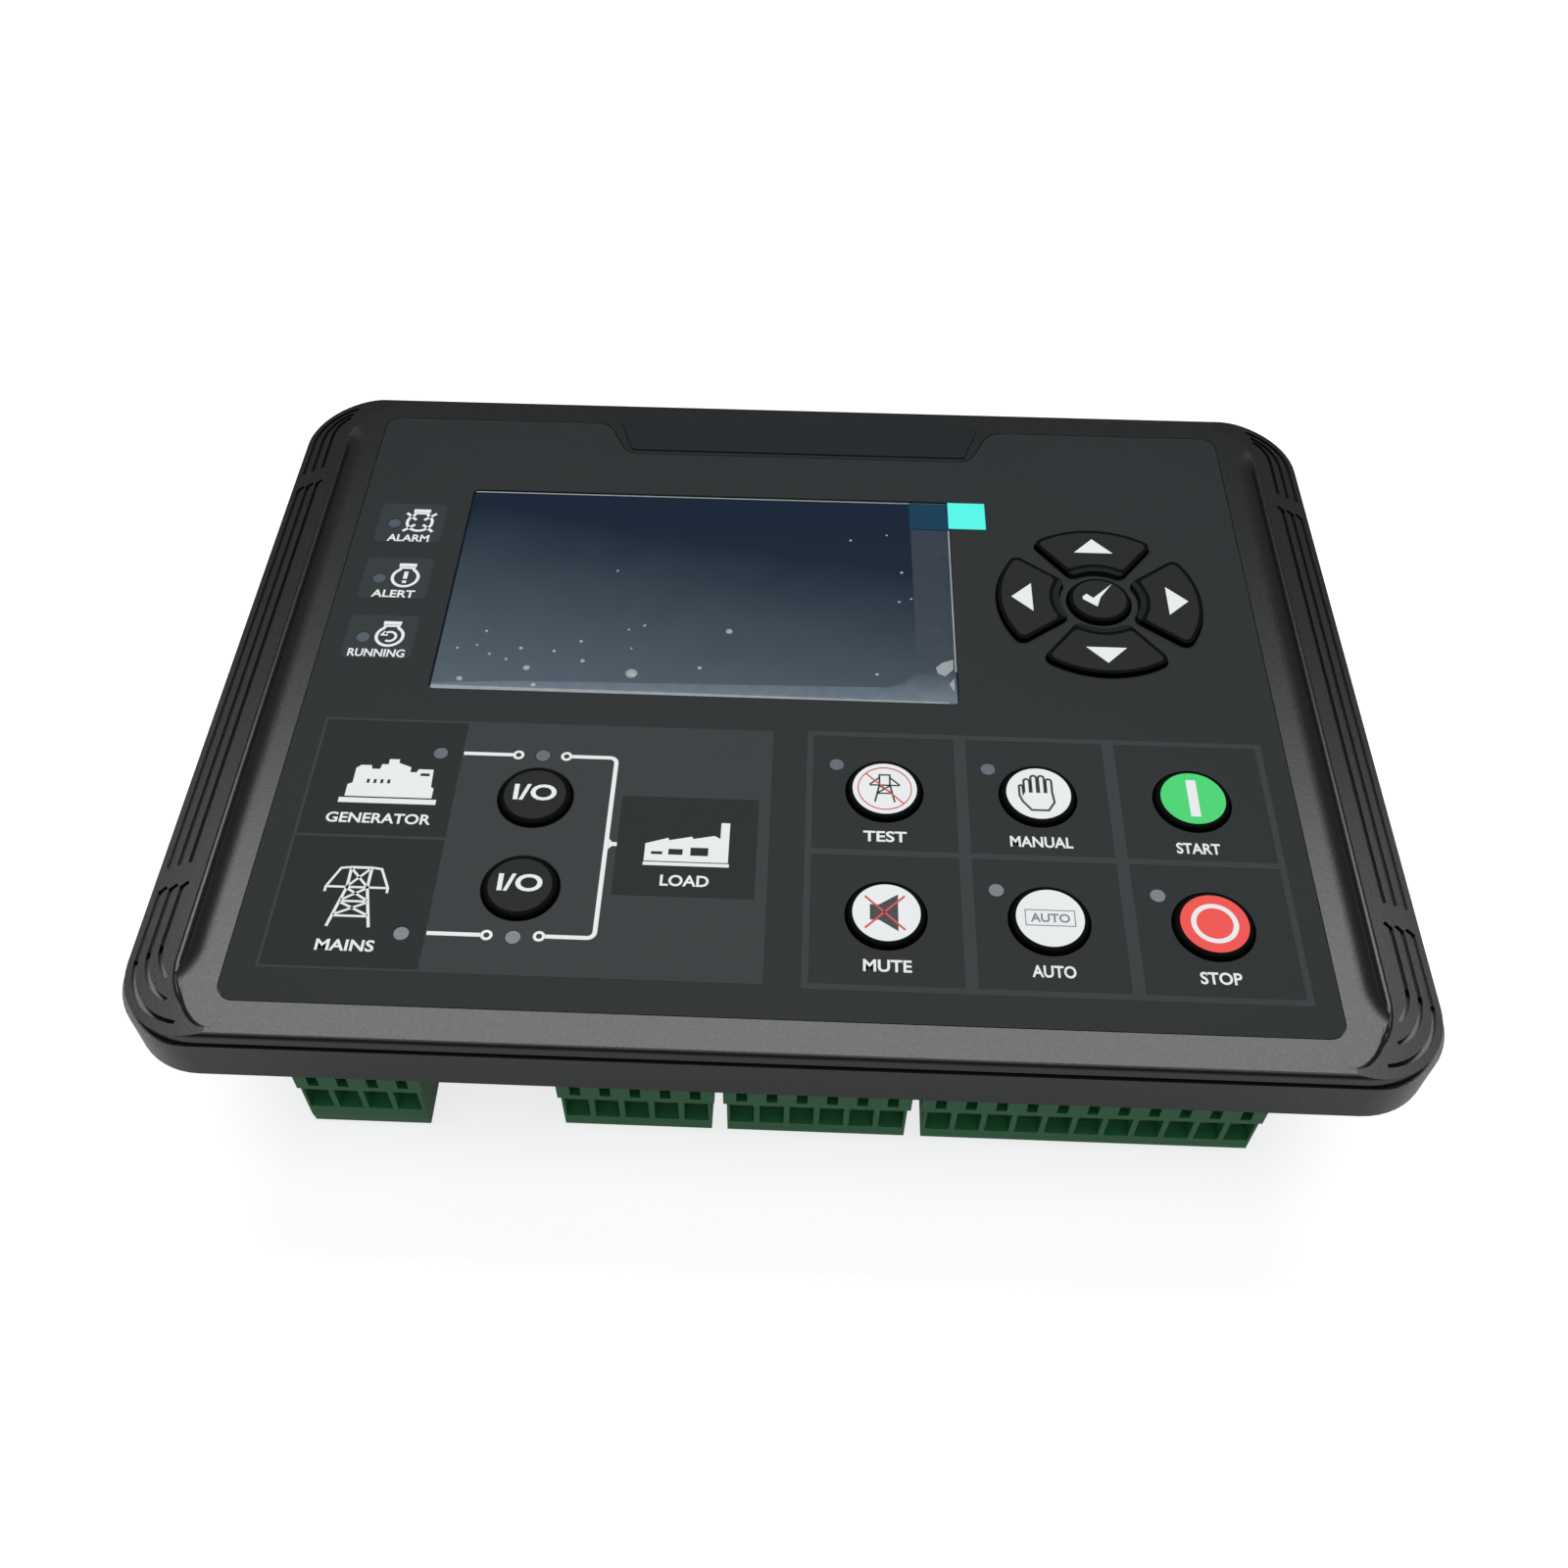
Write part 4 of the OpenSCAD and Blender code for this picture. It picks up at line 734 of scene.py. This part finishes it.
# Breaker keys: the signs for on and off. Confirm: a tick.
for key in ("generator_breaker", "mains_breaker"):
    on_off = [words("I/O", 0.0, -1.3, 3.5, 7.4)]
    coat = disc(cap_ink, "black_key", BREAKER_DISC_R)
    legend(key, [coat, ("mark", on_off, white_ink, "white_key")])
tick = [[(-3.2, 0.6), (-2.4, 1.3), (-1.2, 0.2), (2.7, 4.2), (0.2, 0.4), (-0.6, -2.1), (-3.2, -0.2)]]
coat = disc(cap_ink, "black_key", CONFIRM_DISC_R)
legend("confirm", [coat, ("mark", [tick], white_ink, "white_key")])

# Direction keys: four sectors of one ring round the confirm key, in the same black ABS, each with
# a white arrow that points outwards. Their roots are printed like the overlay and seem to be part
# of it, so that the black rim starts further out. That near-black rim round each printed face is
# painted shade, standing for the dark gap round each key.
PAD_ROOT, PAD_OUT, PAD_HALF, GAP_SHADE_RIM, BEND = 8.9, 19.5, 37.0, 0.75, 1.0
APEX, FOOT, HALF = 16.9, 12.9, 3.8
ROOTED_ROUGHNESS = 0.56
pad_low, pad_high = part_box("key_confirm")
pad_x, pad_y = (pad_low.x + pad_high.x) / 2 / MM, (pad_low.y + pad_high.y) / 2 / MM
rooted_abs = empty_material("black_abs_key_cap_with_printed_root_and_painted_gap_shade")
place = add(rooted_abs, "ShaderNodeTexCoord", {}).outputs["Object"]
grain = {"Vector": place, "Scale": 1 / VELVET, "Detail": 2.0}
grain = add(rooted_abs, "ShaderNodeTexNoise", grain).outputs["Fac"]
flat = {0: place, 1: (1, 1, 0)}
flat = add(rooted_abs, "ShaderNodeVectorMath", flat, operation="MULTIPLY").outputs["Vector"]
radius = {0: flat, 1: (pad_x * MM, pad_y * MM, 0)}
radius = add(rooted_abs, "ShaderNodeVectorMath", radius, operation="DISTANCE").outputs["Value"]
# Beyond the root the cap is near black; the band of it left unprinted round the face is painted gap shade.
beyond = {0: radius, 1: PAD_ROOT * MM}
beyond = add(rooted_abs, "ShaderNodeMath", beyond, operation="GREATER_THAN").outputs["Value"]
tint = {0: beyond, 6: linear(OVERLAY_BLACK), 7: linear("#060707")}
tint = add(rooted_abs, "ShaderNodeMix", tint, data_type="RGBA").outputs[2]
rough = {"Value": grain, "To Min": ROOTED_ROUGHNESS - SHEEN_SPREAD, "To Max": ROOTED_ROUGHNESS + SHEEN_SPREAD}
rough = add(rooted_abs, "ShaderNodeMapRange", rough).outputs["Result"]
bump = {"Height": grain, "Strength": GRIT_BITE, "Distance": KEY_RELIEF}
bump = add(rooted_abs, "ShaderNodeBump", bump).outputs["Normal"]
skin = {"Base Color": tint, "Roughness": rough, "IOR": ABS_IOR, "Normal": bump}
skin["Specular IOR Level"] = KEY_GLOSS
surface = add(rooted_abs, "ShaderNodeBsdfPrincipled", skin).outputs["BSDF"]
add(rooted_abs, "ShaderNodeOutputMaterial", {"Surface": surface})
dress(rooted_abs, "key_up", "key_down", "key_left", "key_right")


def fillet(radius):
    """Middle of a sector's rounded corner, on the given radius and clear of the rim along its side."""
    turn = PAD_HALF - math.degrees(math.asin((GAP_SHADE_RIM + BEND) / radius))
    return radius * math.cos(math.radians(turn)), radius * math.sin(math.radians(turn)), turn


out_x, out_y, out_turn = fillet(PAD_OUT - GAP_SHADE_RIM - BEND)
in_x, in_y, in_turn = fillet(PAD_ROOT + GAP_SHADE_RIM + BEND)
side = PAD_HALF + 90
upper = [*arc(out_x, out_y, BEND, out_turn, side, 6), *arc(in_x, in_y, BEND, side, in_turn + 180, 6)]
lower = [(x, -y) for x, y in reversed(upper)]
crown = arc(0, 0, PAD_OUT - GAP_SHADE_RIM, -out_turn, out_turn, 24)[1:-1]
hollow = arc(0, 0, PAD_ROOT + GAP_SHADE_RIM, in_turn, -in_turn, 16)[1:-1]
sector = pierced([*crown, *upper, *hollow, *lower], [])
arrow = [[(APEX, 0.0), (FOOT, HALF), (FOOT, -HALF)]]
layers = (("face", sector, cap_ink, "black_key"), ("mark", arrow, white_ink, "white_key"))
for key, dx, dy in (("right", 1, 0), ("up", 0, 1), ("left", -1, 0), ("down", 0, -1)):
    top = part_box("key_" + key)[1].z
    for level, (kind, faces, ink, slot) in enumerate(layers, 1):
        turned = [[(pad_x + a * dx - b * dy, pad_y + a * dy + b * dx) for a, b in face] for face in faces]
        raised(f"{key}_{kind}", [turned], top, level * INK, ink, key + "_key")

# Floor: white paper under the controller, matt and even, which keeps its shadow. It is lit up
# for the camera, and a little in reflections, and not by more light on the object.
FLOOR_REACH, FLOOR_DROP = 6.0, 0.2 * MM
FLOOR_SEEN, FLOOR_MIRRORED = 0.78, 0.15
rims = [(-FLOOR_REACH, -FLOOR_REACH, 0), (FLOOR_REACH, -FLOOR_REACH, 0)]
rims += [(FLOOR_REACH, FLOOR_REACH, 0), (-FLOOR_REACH, FLOOR_REACH, 0)]
floor_mesh = bpy.data.meshes.new("floor")
floor_mesh.from_pydata(rims, [], [(0, 1, 2, 3)])
floor = bpy.data.objects.new("floor", floor_mesh)
floor.location.z = -FLOOR_DROP
bpy.context.scene.collection.objects.link(floor)
white_floor = empty_material("white_paper_floor")
rays = add(white_floor, "ShaderNodeLightPath", {}).outputs
mirrored = {0: rays["Is Glossy Ray"], 1: rays["Is Transmission Ray"]}
mirrored = add(white_floor, "ShaderNodeMath", mirrored, operation="MAXIMUM").outputs["Value"]
mirrored = {0: mirrored, 1: FLOOR_MIRRORED}
mirrored = add(white_floor, "ShaderNodeMath", mirrored, operation="MULTIPLY").outputs["Value"]
glow = {0: rays["Is Camera Ray"], 1: FLOOR_SEEN, 2: mirrored}
glow = add(white_floor, "ShaderNodeMath", glow, operation="MULTIPLY_ADD").outputs["Value"]
paper = {"Base Color": linear("#bebebe"), "Roughness": 0.9}
paper |= {"Emission Color": (1, 1, 1, 1), "Emission Strength": glow}
surface = add(white_floor, "ShaderNodeBsdfPrincipled", paper).outputs["BSDF"]
add(white_floor, "ShaderNodeOutputMaterial", {"Surface": surface})
floor.data.materials.append(white_floor)

# Light: a long soft box above and behind the controller, which draws the sheen on the bezel, and
# a weaker one above and in front. The world is a pale, weak blue, and white where the camera sees it.
WORLD_GLOW, WORLD_MIRRORED, WORLD_SEEN = 0.1, 0.02, 0.8


def soft_box(name, place, tilt, size, watts):
    """One soft box, tilted about the long side of the controller by degrees."""
    lamp = bpy.data.lights.new(name, "AREA")
    lamp.shape = "RECTANGLE"
    lamp.size, lamp.size_y = size
    lamp.energy = watts
    holder = bpy.data.objects.new(name, lamp)
    holder.location = place
    holder.rotation_euler = (math.radians(tilt), 0, 0)
    bpy.context.scene.collection.objects.link(holder)


soft_box("back_box", (0.0, 0.475, 1.01), -26, (1.5, 0.4), 9.4)
soft_box("overhead_box", (0.0, -0.3, 1.0), 17, (1.6, 0.7), 4.6)
world = bpy.data.worlds.new("studio")
bpy.context.scene.world = world
world.use_nodes = True
rays = add(world, "ShaderNodeLightPath", {}).outputs
seen = {0: rays["Is Camera Ray"], 6: linear("#d4e2ff"), 7: linear("#ffffff")}
seen = add(world, "ShaderNodeMix", seen, data_type="RGBA").outputs[2]
mirrored = {0: rays["Is Glossy Ray"], 1: rays["Is Transmission Ray"]}
mirrored = add(world, "ShaderNodeMath", mirrored, operation="MAXIMUM").outputs["Value"]
mirrored = {0: mirrored, 1: WORLD_MIRRORED, 2: WORLD_GLOW}
mirrored = add(world, "ShaderNodeMath", mirrored, operation="MULTIPLY_ADD").outputs["Value"]
glow = {0: rays["Is Camera Ray"], 1: WORLD_SEEN, 2: mirrored}
glow = add(world, "ShaderNodeMath", glow, operation="MULTIPLY_ADD").outputs["Value"]
backdrop = world.node_tree.nodes["Background"]
world.node_tree.links.new(seen, backdrop.inputs["Color"])
world.node_tree.links.new(glow, backdrop.inputs["Strength"])
bpy.context.scene.view_settings.view_transform = "Standard"
